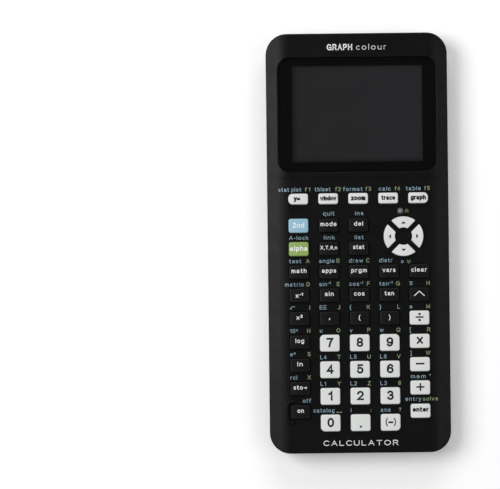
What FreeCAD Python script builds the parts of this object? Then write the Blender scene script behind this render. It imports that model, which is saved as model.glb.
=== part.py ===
import FreeCAD, Part

# Graphing calculator, as a parametric FreeCAD document with one object for each physical piece.
# It lies on its back: +Z points out of the keypad, +Y towards the screen end and +X to the reader's
# right. The origin is the centre of the footprint, on the plane that the rubber feet stand on.
# All sizes are millimetres, and every driving dimension is a cell of the "sizes" spreadsheet.

import math
import os

import Sketcher
from FreeCAD import Placement, Rotation, Vector

SIZES = {
    # case: two moulded shells that meet at the split
    "case_width": 82.7,
    "case_length": 191.3,
    "case_corner": 9.5,
    "case_wall": 1.8,
    "foot_height": 0.8,
    "split_height": 7.8,
    "face_height": 13.6,
    "face_plate": 1.8,
    "face_flat": 62.0,
    "face_drop": 2.1,
    "face_bend": 19.2,
    "face_round": 0.7,
    "ceiling_round": 2.0,
    "floor_plate": 1.3,
    "back_round": 4.5,
    "floor_round": 2.5,
    "seam_bevel": 0.25,
    "trim_groove_y": 29.65,
    "trim_groove_width": 0.5,
    "trim_groove_depth": 0.4,
    "rail_height": 5.6,
    "rail_width": 1.3,
    "rail_depth": 0.9,
    # screw posts, and the self-tapping screws that hold the shells together
    "post_x": 36.3,
    "post_end_y": 87.5,
    "post_mid_y": 2.0,
    "post_radius": 2.5,
    "post_back_radius": 3.2,
    "screw_radius": 1.0,
    "screw_head_radius": 2.0,
    "screw_head_height": 1.2,
    "screw_well_radius": 2.3,
    "screw_well_depth": 2.0,
    "screw_tip": 11.0,
    # display
    "display_y": 58.55,
    "window_width": 71.7,
    "window_length": 52.0,
    "window_corner": 5.4,
    "window_gap": 0.1,
    "window_seat": 11.3,
    "window_thickness": 1.2,
    "window_edge": 0.25,
    "window_brow": 0.4,
    "aperture_width": 63.0,
    "aperture_length": 48.0,
    "ledge_margin": 1.0,
    "ledge_bottom": 10.5,
    "panel_y": 59.3,
    "panel_width": 69.0,
    "panel_length": 49.0,
    "panel_frame": 2.1,
    "panel_glass": 0.6,
    "panel_margin": 1.5,
    "ribbon_length": 4.0,
    "ribbon_thickness": 0.2,
    # keys: caps on a lip that the face plate holds down, each on its own rubber dome
    "column_pitch": 13.65,
    "row_pitch": 10.6,
    "digit_pitch": 12.12,
    "function_row_y": 20.3,
    "second_row_y": 8.15,
    "digit_row_y": -45.4,
    "pad_x": 20.45,
    "pad_y": 2.9,
    "key_width": 8.95,
    "function_key_length": 4.9,
    "black_key_length": 6.4,
    "digit_key_length": 7.65,
    "key_corner": 0.95,
    "key_big_corner": 2.0,
    "key_top": 15.2,
    "key_seat": 11.0,
    "key_lip_height": 0.7,
    "key_lip": 0.6,
    "key_gap": 0.2,
    "key_crown": 38.0,
    "key_edge": 0.55,
    "key_skin": 1.0,
    "key_post_radius": 1.3,
    "arrow_outer": 9.0,
    "arrow_inner": 3.95,
    "arrow_slot": 2.35,
    "arrow_corner": 0.38,
    "arrow_edge": 0.32,
    "arrow_post_y": 6.5,
    "guard_gap": 0.9,
    "guard_width": 1.6,
    "guard_height": 1.15,
    "guard_hook": 1.5,
    "guard_edge": 0.55,
    # rubber key mat
    "mat_width": 66.4,
    "mat_length": 111.0,
    "mat_y": -30.6,
    "mat_thickness": 0.8,
    "dome_base_radius": 2.5,
    "dome_top_radius": 1.7,
    "dome_wall": 0.5,
    # circuit board
    "board_width": 76.0,
    "board_length": 184.0,
    "board_corner": 7.0,
    "board_thickness": 1.6,
    "board_notch_radius": 3.6,
    "socket_y": 86.1,
    "socket_length": 8.9,
    "socket_height": 3.9,
    "usb_x": 14.0,
    "usb_width": 7.7,
    "link_x": -14.0,
    "link_width": 6.0,
    "link_nose_radius": 1.85,
    "link_bore_radius": 1.3,
    "link_bore_depth": 8.0,
    "port_gap": 0.3,
    "lamp_width": 2.4,
    "lamp_height": 1.2,
    "connector_x": -10.25,
    "connector_y": 12.0,
    "connector_height": 2.4,
    "lead_width": 2.4,
    "lead_height": 1.0,
    "reset_x": -24.0,
    "reset_y": 34.0,
    "reset_hole_radius": 0.9,
    "reset_height": 2.4,
    "plunger_radius": 0.8,
    # battery and its door
    "battery_y": -28.0,
    "battery_width": 40.0,
    "battery_length": 58.0,
    "battery_thickness": 3.7,
    "battery_bottom": 2.3,
    "battery_corner": 1.5,
    "battery_round": 1.2,
    "bay_width": 41.0,
    "bay_length": 59.2,
    "bay_wall": 1.2,
    "door_y": -29.5,
    "door_width": 46.0,
    "door_length": 69.0,
    "door_corner": 3.0,
    "door_gap": 0.2,
    "door_shelf": 1.0,
    "door_tab_x": 12.0,
    "door_tab_width": 6.0,
    "door_tab_reach": 1.6,
    "door_tab_bottom": 1.55,
    "door_screw_y": -61.2,
    "door_screw_tip": 5.4,
    "door_head_height": 0.6,
    "door_rim": 0.2,
    "grip_width": 16.0,
    "grip_rib_pitch": 1.6,
    "grip_groove": 0.7,
    # rubber feet
    "foot_x": 29.5,
    "foot_y": 83.0,
    "foot_radius": 4.0,
    "foot_recess": 0.6,
    "foot_edge": 0.3,
}

FUNCTION, BLACK, DIGIT = "function_key_length", "black_key_length", "digit_key_length"
SMALL, BIG = "sizes.key_corner", "sizes.key_big_corner"

doc = FreeCAD.newDocument("graphing_calculator")
sizes = doc.addObject("Spreadsheet::Sheet", "sizes")
for row, (alias, number) in enumerate(SIZES.items(), 1):
    sizes.set(f"A{row}", alias)
    sizes.set(f"B{row}", str(number))
    sizes.setAlias(f"B{row}", alias)
doc.recompute()

subparts = []


def measure(expression):
    """The number that an expression on the sheet gives."""
    found = probe.evalExpression(expression)
    return float(getattr(found, "Value", found))


probe = doc.addObject("App::FeaturePython", "probe")


def keep(piece, label):
    """Marks a document object as a sub-part: its label names its file."""
    piece.Label = label
    subparts.append(piece)
    return piece


# ---------------------------------------------------------------- sketch helpers


def new_body(name):
    return doc.addObject("PartDesign::Body", name)


def new_sketch(body, name, plane="XY_Plane", offset="0", centre=("0", "0")):
    """A sketch on one of the body's own origin planes, moved along its normal and in its plane."""
    sketch = body.newObject("Sketcher::SketchObject", name)
    support = next(f for f in body.Origin.OriginFeatures if f.Role == plane)
    sketch.AttachmentSupport = [(support, "")]
    sketch.MapMode = "FlatFace"
    for axis, expression in zip("xyz", (*centre, offset)):
        sketch.setExpression(f"AttachmentOffset.Base.{axis}", expression)
    return sketch


def dimension(sketch, kind, expression, *where):
    """Adds a dimension that the sheet drives."""
    number = measure(expression)
    if kind == "Angle":
        number = math.radians(number)
    index = sketch.addConstraint(Sketcher.Constraint(kind, *where, number))
    sketch.setExpression(f"Constraints[{index}]", expression)


def arc(x, y, radius, start, end):
    circle = Part.Circle(Vector(x, y, 0), Vector(0, 0, 1), radius)
    return Part.ArcOfCircle(circle, math.radians(start), math.radians(end))


def rounded_rectangle(sketch, width, length, corners):
    """A closed outline about the sketch's origin. Corners run anticlockwise from the top right."""
    half_x, half_y = measure(width) / 2, measure(length) / 2
    radii = [measure(corner) for corner in corners]
    signs = ((1, 1), (-1, 1), (-1, -1), (1, -1))
    middles = [
        (sx * (half_x - r), sy * (half_y - r)) for (sx, sy), r in zip(signs, radii)
    ]
    (ax, ay), (bx, by), (cx, cy), (dx, dy) = middles
    top = Part.LineSegment(Vector(ax, half_y, 0), Vector(bx, half_y, 0))
    left = Part.LineSegment(Vector(-half_x, by, 0), Vector(-half_x, cy, 0))
    bottom = Part.LineSegment(Vector(cx, -half_y, 0), Vector(dx, -half_y, 0))
    right = Part.LineSegment(Vector(half_x, dy, 0), Vector(half_x, ay, 0))
    arcs = [
        arc(x, y, r, 90 * n, 90 * n + 90) for n, ((x, y), r) in enumerate(zip(middles, radii))
    ]
    # geometry in walking order: right line, arc, top line, arc, left line, arc, bottom line, arc
    side = sketch.addGeometry([right, arcs[0], top, arcs[1], left, arcs[2], bottom, arcs[3]])
    joined = [
        Sketcher.Constraint("Tangent", side[n - 1], 2, side[n], 1) for n in range(len(side))
    ]
    upright = [Sketcher.Constraint("Vertical", side[n]) for n in (0, 4)]
    level = [Sketcher.Constraint("Horizontal", side[n]) for n in (2, 6)]
    sketch.addConstraint(joined + upright + level)
    for n, corner in enumerate(corners):
        dimension(sketch, "Radius", corner, side[2 * n + 1])
    dimension(sketch, "DistanceX", f"({width}) / 2", -1, 1, side[0], 1)
    dimension(sketch, "DistanceY", f"({length}) / 2", -1, 1, side[2], 1)
    dimension(sketch, "DistanceX", f"({width}) / 2", side[4], 1, -1, 1)
    dimension(sketch, "DistanceY", f"({length}) / 2", side[6], 1, -1, 1)


def disc(sketch, radius, x="0", y="0"):
    """A full circle, placed from the sketch's origin."""
    at = Vector(measure(x), measure(y), 0)
    index = sketch.addGeometry(Part.Circle(at, Vector(0, 0, 1), measure(radius)))
    dimension(sketch, "Radius", radius, index)
    for kind, expression, distance in (("DistanceX", x, at.x), ("DistanceY", y, at.y)):
        if distance:
            dimension(sketch, kind, expression, -1, 1, index, 3)
        else:
            on_axis = -2 if kind == "DistanceX" else -1
            sketch.addConstraint(Sketcher.Constraint("PointOnObject", index, 3, on_axis))


def sector(sketch, outer, inner, slot):
    """A quarter of a ring, about +Y, whose straight sides lie half a slot inside the diagonals."""
    shift = measure(slot) / math.sqrt(2)
    corners = []
    for radius in (measure(outer), measure(inner)):
        x = (math.sqrt(2 * radius**2 - shift**2) - shift) / 2
        corners.append((x, x + shift))
    (ox, oy), (ix, iy) = corners
    start = math.degrees(math.atan2(oy, ox))
    inner_start = math.degrees(math.atan2(iy, ix))
    sketch.addGeometry(
        [
            arc(0, 0, math.hypot(ox, oy), start, 180 - start),
            Part.LineSegment(Vector(-ox, oy, 0), Vector(-ix, iy, 0)),
            arc(0, 0, math.hypot(ix, iy), inner_start, 180 - inner_start),
            Part.LineSegment(Vector(ix, iy, 0), Vector(ox, oy, 0)),
        ]
    )
    joined = [
        Sketcher.Constraint("Coincident", 0, 2, 1, 1),
        Sketcher.Constraint("Coincident", 1, 2, 2, 2),
        Sketcher.Constraint("Coincident", 2, 1, 3, 1),
        Sketcher.Constraint("Coincident", 3, 2, 0, 1),
        Sketcher.Constraint("Coincident", 0, 3, -1, 1),
        Sketcher.Constraint("Coincident", 2, 3, -1, 1),
        Sketcher.Constraint("Perpendicular", 1, 3),
        Sketcher.Constraint("Angle", 3, math.radians(45)),
    ]
    sketch.addConstraint(joined)
    dimension(sketch, "Radius", outer, 0)
    dimension(sketch, "Radius", inner, 2)
    for side in (1, 3):
        dimension(sketch, "Distance", f"({slot}) / 2", -1, 1, side)


# ---------------------------------------------------------------- feature helpers


def pad(body, sketch, length, symmetric=False, down=False):
    feature = body.newObject("PartDesign::Pad", f"{sketch.Name}_pad")
    return extrude(feature, sketch, length, symmetric, down)


def pocket(body, sketch, length, symmetric=False, up=False):
    """Cuts along the sketch's negative normal, or along its normal with up."""
    feature = body.newObject("PartDesign::Pocket", f"{sketch.Name}_pocket")
    return extrude(feature, sketch, length, symmetric, up)


def extrude(feature, sketch, length, symmetric, flip):
    feature.Profile = sketch
    feature.SideType = "Symmetric" if symmetric else "One side"
    feature.Reversed = flip
    feature.Refine = False
    feature.setExpression("Length", length)
    sketch.Visibility = False
    return feature


def dress(body, kind, base, names, name, setting, expression):
    """A PartDesign fillet or chamfer on named faces or edges of base."""
    feature = body.newObject(f"PartDesign::{kind}", name)
    feature.Base = (base, names)
    feature.setExpression(setting, expression)
    return feature


def edges_where(shape, test):
    """Names of the edges whose every sampled point passes a test."""
    names = []
    for number, edge in enumerate(shape.Edges, 1):
        first, last = edge.ParameterRange
        points = [edge.valueAt(first + (last - first) * share) for share in (0, 0.5, 1)]
        if all(test(point) for point in points):
            names.append(f"Edge{number}")
    return names


def faces_where(shape, test):
    return [f"Face{n}" for n, face in enumerate(shape.Faces, 1) if test(face)]


def at_height(height, slack=1e-3):
    return lambda point: abs(point.z - height) < slack


def box(name, width, length, height, x, y, bottom):
    """A Part box centred on x and y, standing on bottom, with every size on the sheet."""
    piece = doc.addObject("Part::Box", name)
    piece.setExpression("Length", width)
    piece.setExpression("Width", length)
    piece.setExpression("Height", height)
    piece.setExpression("Placement.Base.x", f"({x}) - ({width}) / 2")
    piece.setExpression("Placement.Base.y", f"({y}) - ({length}) / 2")
    piece.setExpression("Placement.Base.z", bottom)
    return piece


def cylinder(name, radius, height, x, y, bottom):
    piece = doc.addObject("Part::Cylinder", name)
    piece.setExpression("Radius", radius)
    piece.setExpression("Height", height)
    piece.setExpression("Placement.Base.x", x)
    piece.setExpression("Placement.Base.y", y)
    piece.setExpression("Placement.Base.z", bottom)
    return piece


def cylinder_along_y(name, radius, length, x, start, z):
    piece = doc.addObject("Part::Cylinder", name)
    piece.setExpression("Radius", radius)
    piece.setExpression("Height", length)
    piece.Placement = Placement(Vector(), Rotation(Vector(1, 0, 0), -90))
    piece.setExpression("Placement.Base.x", x)
    piece.setExpression("Placement.Base.y", start)
    piece.setExpression("Placement.Base.z", z)
    return piece


def cone(name, low_radius, high_radius, height, x, y, bottom):
    piece = doc.addObject("Part::Cone", name)
    piece.setExpression("Radius1", low_radius)
    piece.setExpression("Radius2", high_radius)
    piece.setExpression("Height", height)
    piece.setExpression("Placement.Base.x", x)
    piece.setExpression("Placement.Base.y", y)
    piece.setExpression("Placement.Base.z", bottom)
    return piece


def compound(name, pieces):
    group = doc.addObject("Part::Compound", name)
    group.Links = pieces
    return group


def cut(name, base, tool):
    piece = doc.addObject("Part::Cut", name)
    piece.Base = base
    piece.Tool = tool
    return piece


def fuse(name, pieces):
    piece = doc.addObject("Part::MultiFuse", name)
    piece.Shapes = pieces
    return piece


# ---------------------------------------------------------------- where the keys are


def column(number):
    """X of a key column, counted from the middle one."""
    return f"sizes.column_pitch * ({number})"


def row_y(number):
    """Y of a row of black keys, counted down from the one with the shift key."""
    return f"sizes.second_row_y - sizes.row_pitch * {number}"


def digit_y(number):
    return f"sizes.digit_row_y - sizes.digit_pitch * {number}"


def key_table():
    """Every straight-sided key: name, x, y, length cell and its four corner radii."""
    table = []

    def add(name, col, y, length, corners=(SMALL,) * 4):
        table.append((f"key_{name}", column(col), y, f"sizes.{length}", corners))

    round_left = (SMALL, BIG, BIG, SMALL)
    round_right = (BIG, SMALL, SMALL, BIG)
    function_row = ("y_equals", "window", "zoom", "trace", "graph")
    for col, name in enumerate(function_row, -2):
        corners = {-2: round_left, 2: round_right}.get(col, (SMALL,) * 4)
        add(name, col, "sizes.function_row_y", FUNCTION, corners)
    black_rows = (
        ("second", "mode", "delete"),
        ("alpha", "variable", "stat"),
        ("math", "apps", "program", "vars", "clear"),
        ("inverse", "sin", "cos", "tan", "power"),
        ("square", "comma", "open_bracket", "close_bracket", "divide"),
        ("log",),
        ("ln",),
        ("store",),
        ("on",),
    )
    for number, names in enumerate(black_rows):
        for col, name in enumerate(names, -2):
            add(name, col, row_y(number), BLACK)
    for number, name in enumerate(("multiply", "minus", "plus", "enter"), 5):
        add(name, 2, row_y(number), BLACK)
    digit_rows = (("7", "8", "9"), ("4", "5", "6"), ("1", "2", "3"), ("0", "point", "negative"))
    pad_corners = {
        "7": (SMALL, BIG, SMALL, SMALL),
        "9": (BIG, SMALL, SMALL, SMALL),
        "0": (SMALL, SMALL, BIG, SMALL),
        "negative": (SMALL, SMALL, SMALL, BIG),
    }
    for number, names in enumerate(digit_rows):
        for col, name in enumerate(names, -1):
            add(name, col, digit_y(number), DIGIT, pad_corners.get(name, (SMALL,) * 4))
    return table


KEYS = key_table()
ARROWS = {"key_up": 0, "key_left": 90, "key_down": 180, "key_right": 270}


def dome_places():
    """X and Y of the rubber dome under each key."""
    places = [(name, x, y) for name, x, y, _, _ in KEYS]
    for name, turn in ARROWS.items():
        places.append(
            (
                name,
                f"sizes.pad_x - sizes.arrow_post_y * sin({turn})",
                f"sizes.pad_y + sizes.arrow_post_y * cos({turn})",
            )
        )
    return places


POSTS = [
    (f"sizes.post_x * ({side})", y)
    for side in (-1, 1)
    for y in ("sizes.post_end_y", "sizes.post_mid_y", "-sizes.post_end_y")
]

# ---------------------------------------------------------------- keys


def finish_key(body, lip_sketch, hollow_sketch, post_xy, edge, place):
    """Crown, rounded rim, retaining lip, hollow underside and centre post, the same for every key."""
    name = body.Name
    reach = measure("sizes.arrow_outer + 1")
    radius, top = measure("sizes.key_crown"), measure("sizes.key_top")
    crown = new_sketch(body, f"{name}_crown", plane="XZ_Plane")
    swing = math.degrees(math.asin(reach / radius))
    edge_height = top - radius * (1 - math.cos(math.radians(swing)))
    over = top + 1
    crown.addGeometry(
        [
            arc(0, top - radius, radius, 90 - swing, 90 + swing),
            Part.LineSegment(Vector(-reach, edge_height, 0), Vector(-reach, over, 0)),
            Part.LineSegment(Vector(-reach, over, 0), Vector(reach, over, 0)),
            Part.LineSegment(Vector(reach, over, 0), Vector(reach, edge_height, 0)),
        ]
    )
    joined = [
        Sketcher.Constraint("Coincident", 0, 2, 1, 1),
        Sketcher.Constraint("Coincident", 1, 2, 2, 1),
        Sketcher.Constraint("Coincident", 2, 2, 3, 1),
        Sketcher.Constraint("Coincident", 3, 2, 0, 1),
        Sketcher.Constraint("Vertical", 1),
        Sketcher.Constraint("Vertical", 3),
        Sketcher.Constraint("Horizontal", 2),
        Sketcher.Constraint("PointOnObject", 0, 3, -2),
    ]
    crown.addConstraint(joined)
    dimension(crown, "Radius", "sizes.key_crown", 0)
    dimension(crown, "DistanceY", "sizes.key_top + 1", -1, 1, 2, 1)
    dimension(crown, "DistanceX", "sizes.arrow_outer + 1", -1, 1, 2, 2)
    dimension(crown, "DistanceX", "sizes.arrow_outer + 1", 2, 1, -1, 1)
    dimension(crown, "DistanceY", "sizes.key_top - sizes.key_crown", -1, 1, 0, 3)
    crowned = pocket(body, crown, "4 * sizes.arrow_outer", symmetric=True)
    doc.recompute([crowned], True)
    rim = faces_where(
        crowned.Shape, lambda f: abs(getattr(f.Surface, "Radius", 0) - radius) < 1e-6
    )
    dress(body, "Fillet", crowned, rim, f"{name}_rim", "Radius", edge)
    pad(body, lip_sketch, "sizes.key_lip_height")
    inside = "sizes.key_top - sizes.key_skin - sizes.key_seat"
    pocket(body, hollow_sketch, inside, up=True)
    post = new_sketch(body, f"{name}_post", offset="sizes.key_seat")
    disc(post, "sizes.key_post_radius", *post_xy)
    pad(body, post, inside)
    x, y, turn = place
    body.Placement = Placement(Vector(), Rotation(Vector(0, 0, 1), turn))
    body.setExpression("Placement.Base.x", x)
    body.setExpression("Placement.Base.y", y)
    return keep(body, name)


CAP_RISE = "sizes.key_top - sizes.key_seat - sizes.key_lip_height + 0.5"
CAP_BASE = "sizes.key_seat + sizes.key_lip_height"


def straight_key(name, x, y, length, corners):
    body = new_body(name)
    outline = new_sketch(body, f"{name}_outline", offset=CAP_BASE)
    rounded_rectangle(outline, "sizes.key_width", length, corners)
    pad(body, outline, CAP_RISE)
    lip = new_sketch(body, f"{name}_lip", offset="sizes.key_seat")
    grown = "2 * sizes.key_lip"
    rounded_rectangle(lip, f"sizes.key_width + {grown}", f"{length} + {grown}", (SMALL,) * 4)
    hollow = new_sketch(body, f"{name}_hollow", offset="sizes.key_seat")
    skin = "2 * sizes.key_skin"
    small = ("sizes.key_corner / 2",) * 4
    rounded_rectangle(hollow, f"sizes.key_width - {skin}", f"{length} - {skin}", small)
    return finish_key(body, lip, hollow, ("0", "0"), "sizes.key_edge", (x, y, 0))


def arrow_key(name, turn):
    body = new_body(name)
    outline = new_sketch(body, f"{name}_outline", offset=CAP_BASE)
    sector(outline, "sizes.arrow_outer", "sizes.arrow_inner", "sizes.arrow_slot")
    cap = pad(body, outline, CAP_RISE)
    doc.recompute([cap], True)
    dress(
        body,
        "Fillet",
        cap,
        edges_where(cap.Shape, vertical_in(cap.Shape)),
        f"{name}_corners",
        "Radius",
        "sizes.arrow_corner",
    )
    lip = new_sketch(body, f"{name}_lip", offset="sizes.key_seat")
    sector(
        lip,
        "sizes.arrow_outer + sizes.key_lip",
        "sizes.arrow_inner - sizes.key_lip",
        "sizes.arrow_slot - 2 * sizes.key_lip",
    )
    hollow = new_sketch(body, f"{name}_hollow", offset="sizes.key_seat")
    sector(
        hollow,
        "sizes.arrow_outer - sizes.key_skin",
        "sizes.arrow_inner + sizes.key_skin",
        "sizes.arrow_slot + 2 * sizes.key_skin",
    )
    place = ("sizes.pad_x", "sizes.pad_y", turn)
    post = ("0", "sizes.arrow_post_y")
    return finish_key(body, lip, hollow, post, "sizes.arrow_edge", place)


def vertical_in(shape):
    """A test for points on the upright corner edges of a padded sector."""
    corners = {(round(v.X, 4), round(v.Y, 4)) for v in shape.Vertexes}
    return lambda point: (round(point.x, 4), round(point.y, 4)) in corners


def build_keys():
    for name, x, y, length, corners in KEYS:
        straight_key(name, x, y, length, corners)
    for name, turn in ARROWS.items():
        arrow_key(name, turn)


# ---------------------------------------------------------------- front cover


def crown_sketch(body, name, drop, offset="0"):
    """Everything above the face's cross-section: flat, then a bend and a slope to each side."""
    sketch = new_sketch(body, name, plane="XZ_Plane", offset=offset)
    flat, half = measure("sizes.face_flat / 2"), measure("sizes.case_width / 2")
    fall, top = measure("sizes.face_drop"), measure(f"sizes.face_height - {drop}")
    radius = measure("sizes.face_bend")
    run, rise = half - flat, radius - fall
    turn = math.acos(radius / math.hypot(run, rise)) + math.atan2(rise, run)
    swing = 90 - math.degrees(turn)
    bend_x, bend_z = flat + radius * math.cos(turn), top - radius + radius * math.sin(turn)
    over, out = top + 4, half + 2
    low = top - fall
    corners = [(-half, low), (-out, low), (-out, over), (out, over), (out, low), (half, low)]
    stops = [Vector(-bend_x, bend_z, 0), *(Vector(x, z, 0) for x, z in corners)]
    stops.append(Vector(bend_x, bend_z, 0))
    sketch.addGeometry(
        [
            Part.LineSegment(Vector(flat, top, 0), Vector(-flat, top, 0)),
            arc(-flat, top - radius, radius, 90, 90 + swing),
            *(Part.LineSegment(*pair) for pair in zip(stops, stops[1:])),
            arc(flat, top - radius, radius, 90 - swing, 90),
        ]
    )
    tangents = ((0, 1), (1, 2), (8, 9), (9, 0))
    constraints = [Sketcher.Constraint("Tangent", a, 2, b, 1) for a, b in tangents]
    constraints += [Sketcher.Constraint("Coincident", n, 2, n + 1, 1) for n in range(2, 8)]
    constraints += [Sketcher.Constraint("Horizontal", n) for n in (0, 3, 5, 7)]
    constraints += [Sketcher.Constraint("Vertical", n) for n in (4, 6)]
    sketch.addConstraint(constraints)
    for bend in (1, 9):
        dimension(sketch, "Radius", "sizes.face_bend", bend)
    dimension(sketch, "DistanceY", f"sizes.face_height - {drop}", -1, 1, 0, 1)
    dimension(sketch, "DistanceX", "sizes.face_flat / 2", -1, 1, 0, 1)
    dimension(sketch, "DistanceX", "sizes.face_flat / 2", 0, 2, -1, 1)
    dimension(sketch, "DistanceX", "sizes.case_width / 2", -1, 1, 7, 2)
    dimension(sketch, "DistanceX", "sizes.case_width / 2", 3, 1, -1, 1)
    dimension(sketch, "DistanceY", "sizes.face_drop", 7, 2, 0, 1)
    dimension(sketch, "DistanceY", "sizes.face_drop", 3, 1, 0, 2)
    dimension(sketch, "DistanceY", "4", 0, 1, 5, 1)
    dimension(sketch, "DistanceX", "sizes.case_width / 2 + 2", -1, 1, 5, 2)
    dimension(sketch, "DistanceX", "sizes.case_width / 2 + 2", 5, 1, -1, 1)
    return sketch


def case_outline(body, name, offset, inset="0"):
    """The case's plan outline at a height, or the cavity's outline inside the wall."""
    sketch = new_sketch(body, name, offset=offset)
    shrink = f"2 * ({inset})"
    rounded_rectangle(
        sketch,
        f"sizes.case_width - {shrink}",
        f"sizes.case_length - {shrink}",
        (f"sizes.case_corner - ({inset})",) * 4,
    )
    return sketch


def on_outline(width, length, corner, y="0", slack=1e-3):
    """A test for points straight above or below a rounded rectangle that is centred on x."""
    radius, middle = measure(corner), measure(y)
    half_x, half_y = measure(f"({width}) / 2") - radius, measure(f"({length}) / 2") - radius

    def test(point):
        dx, dy = max(abs(point.x) - half_x, 0), max(abs(point.y - middle) - half_y, 0)
        return abs(math.hypot(dx, dy) - radius) < slack

    return test


def on_case_outline(slack=1e-3):
    return on_outline("sizes.case_width", "sizes.case_length", "sizes.case_corner", slack=slack)


def add_guard(body):
    """The raised ridge that hooks round the left side of the bottom left key."""
    crest = "sizes.face_height + sizes.guard_height"
    centre = (column(-2), row_y(8))
    ring = new_sketch(body, "guard_ring", offset="sizes.face_height - 1", centre=centre)
    for grow in ("sizes.guard_gap + sizes.guard_width", "sizes.guard_gap"):
        rounded_rectangle(
            ring,
            f"sizes.key_width + 2 * ({grow})",
            f"sizes.{BLACK} + 2 * ({grow})",
            (f"sizes.key_corner + {grow}",) * 4,
        )
    pad(body, ring, "1 + sizes.guard_height")
    side = (f"{column(-2)} + sizes.guard_hook + sizes.guard_width", row_y(8))
    trim = new_sketch(body, "guard_trim", offset="sizes.face_height", centre=side)
    rounded_rectangle(
        trim,
        "sizes.key_width + 2 * sizes.guard_width",
        f"sizes.{BLACK} + 4 * (sizes.guard_gap + sizes.guard_width)",
        ("sizes.guard_width",) * 4,
    )
    trimmed = pocket(body, trim, "1 + sizes.guard_height", up=True)
    doc.recompute([trimmed], True)
    top = edges_where(trimmed.Shape, at_height(measure(crest)))
    dress(body, "Fillet", trimmed, top, "guard_round", "Radius", "sizes.guard_edge")


def build_front_cover():
    body = new_body("front_shell")
    outline = case_outline(body, "face_outline", "sizes.split_height")
    pad(body, outline, "sizes.face_height - sizes.split_height + 1")
    crown = crown_sketch(body, "face_crown", "0")
    crowned = pocket(body, crown, "sizes.case_length + 4", symmetric=True)
    doc.recompute([crowned], True)
    high = measure("sizes.face_height - sizes.face_drop") - 1e-3
    outside = on_case_outline(0.02)
    rim = edges_where(crowned.Shape, lambda p: p.z > high and outside(p))
    rounded = dress(body, "Fillet", crowned, rim, "face_rim", "Radius", "sizes.face_round")
    doc.recompute([rounded], True)
    split = at_height(measure("sizes.split_height"))
    lower = edges_where(rounded.Shape, split)
    dress(body, "Chamfer", rounded, lower, "front_seam", "Size", "sizes.seam_bevel")

    cavity = case_outline(body, "face_cavity", "sizes.split_height", "sizes.case_wall")
    depth = "sizes.face_height - sizes.face_plate - sizes.split_height"
    hollow = pocket(body, cavity, depth, up=True)
    doc.recompute([hollow], True)
    ceiling = at_height(measure("sizes.face_height - sizes.face_plate"))
    dress(
        body,
        "Fillet",
        hollow,
        edges_where(hollow.Shape, ceiling),
        "face_ceiling_round",
        "Radius",
        "sizes.ceiling_round",
    )

    ledge = new_sketch(
        body, "window_ledge", offset="sizes.ledge_bottom", centre=("0", "sizes.display_y")
    )
    margin = "2 * sizes.ledge_margin"
    rounded_rectangle(
        ledge,
        f"sizes.window_width + {margin}",
        f"sizes.window_length + {margin}",
        ("sizes.window_corner",) * 4,
    )
    pad(body, ledge, "sizes.face_height - 1 - sizes.ledge_bottom")

    for number, (x, y) in enumerate(POSTS, 1):
        post = new_sketch(body, f"front_post_{number}", offset="sizes.split_height", centre=(x, y))
        disc(post, "sizes.post_radius")
        pad(body, post, "sizes.face_height - sizes.face_plate + 0.2 - sizes.split_height")

    seat = new_sketch(
        body, "window_seat", offset="sizes.face_height", centre=("0", "sizes.display_y")
    )
    gap = "2 * sizes.window_gap"
    seat_outline = (
        f"sizes.window_width + {gap}",
        f"sizes.window_length + {gap}",
        "sizes.window_corner + sizes.window_gap",
    )
    rounded_rectangle(seat, *seat_outline[:2], seat_outline[2:] * 4)
    recess = pocket(body, seat, "sizes.face_height - sizes.window_seat")
    doc.recompute([recess], True)
    above = on_outline(*seat_outline, y="sizes.display_y", slack=0.02)
    window_top = measure("sizes.window_seat + sizes.window_thickness")
    brow = edges_where(recess.Shape, lambda p: p.z > window_top and above(p))
    dress(body, "Fillet", recess, brow, "window_brow", "Radius", "sizes.window_brow")
    aperture = new_sketch(
        body, "display_aperture", offset="sizes.face_height", centre=("0", "sizes.panel_y")
    )
    rounded_rectangle(aperture, "sizes.aperture_width", "sizes.aperture_length", (SMALL,) * 4)
    pocket(body, aperture, "sizes.face_height - sizes.split_height - 1")

    groove = crown_sketch(body, "trim_groove", "sizes.trim_groove_depth", "-sizes.trim_groove_y")
    pocket(body, groove, "sizes.trim_groove_width", symmetric=True)

    add_guard(body)

    arrow = new_sketch(
        body, "arrow_opening", offset="sizes.face_height + 1", centre=("sizes.pad_x", "sizes.pad_y")
    )
    sector(
        arrow,
        "sizes.arrow_outer + sizes.key_gap",
        "sizes.arrow_inner - sizes.key_gap",
        "sizes.arrow_slot - 2 * sizes.key_gap",
    )
    first = pocket(body, arrow, "sizes.face_plate + 2")
    doc.recompute([first], True)
    ring = body.newObject("PartDesign::PolarPattern", "arrow_openings")
    ring.Originals = [first]
    ring.Axis = (arrow, ["N_Axis"])
    ring.Angle = 360
    ring.Occurrences = len(ARROWS)
    body.Tip = ring
    doc.recompute([ring], True)

    tools = [key_opening(*key) for key in KEYS]
    tools += [screw_pilot(number, x, y) for number, (x, y) in enumerate(POSTS, 1)]
    tools += port_openings()
    keep(cut("front_cover", body, compound("front_cover_tools", tools)), "front_cover")


def key_opening(name, x, y, length, corners):
    """The hole in the face plate for one key, a running gap wider than its cap all round."""
    gap = "2 * sizes.key_gap"
    outline = doc.addObject("Sketcher::SketchObject", f"{name}_opening_outline")
    outline.setExpression("Placement.Base.x", x)
    outline.setExpression("Placement.Base.y", y)
    outline.setExpression("Placement.Base.z", "sizes.face_height - sizes.face_plate - 1")
    rounded_rectangle(
        outline,
        f"sizes.key_width + {gap}",
        f"{length} + {gap}",
        [f"{corner} + sizes.key_gap" for corner in corners],
    )
    opening = doc.addObject("Part::Extrusion", f"{name}_opening")
    opening.Base = outline
    opening.DirMode = "Normal"
    opening.Solid = True
    opening.setExpression("LengthFwd", "sizes.face_plate + 2")
    return opening


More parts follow.
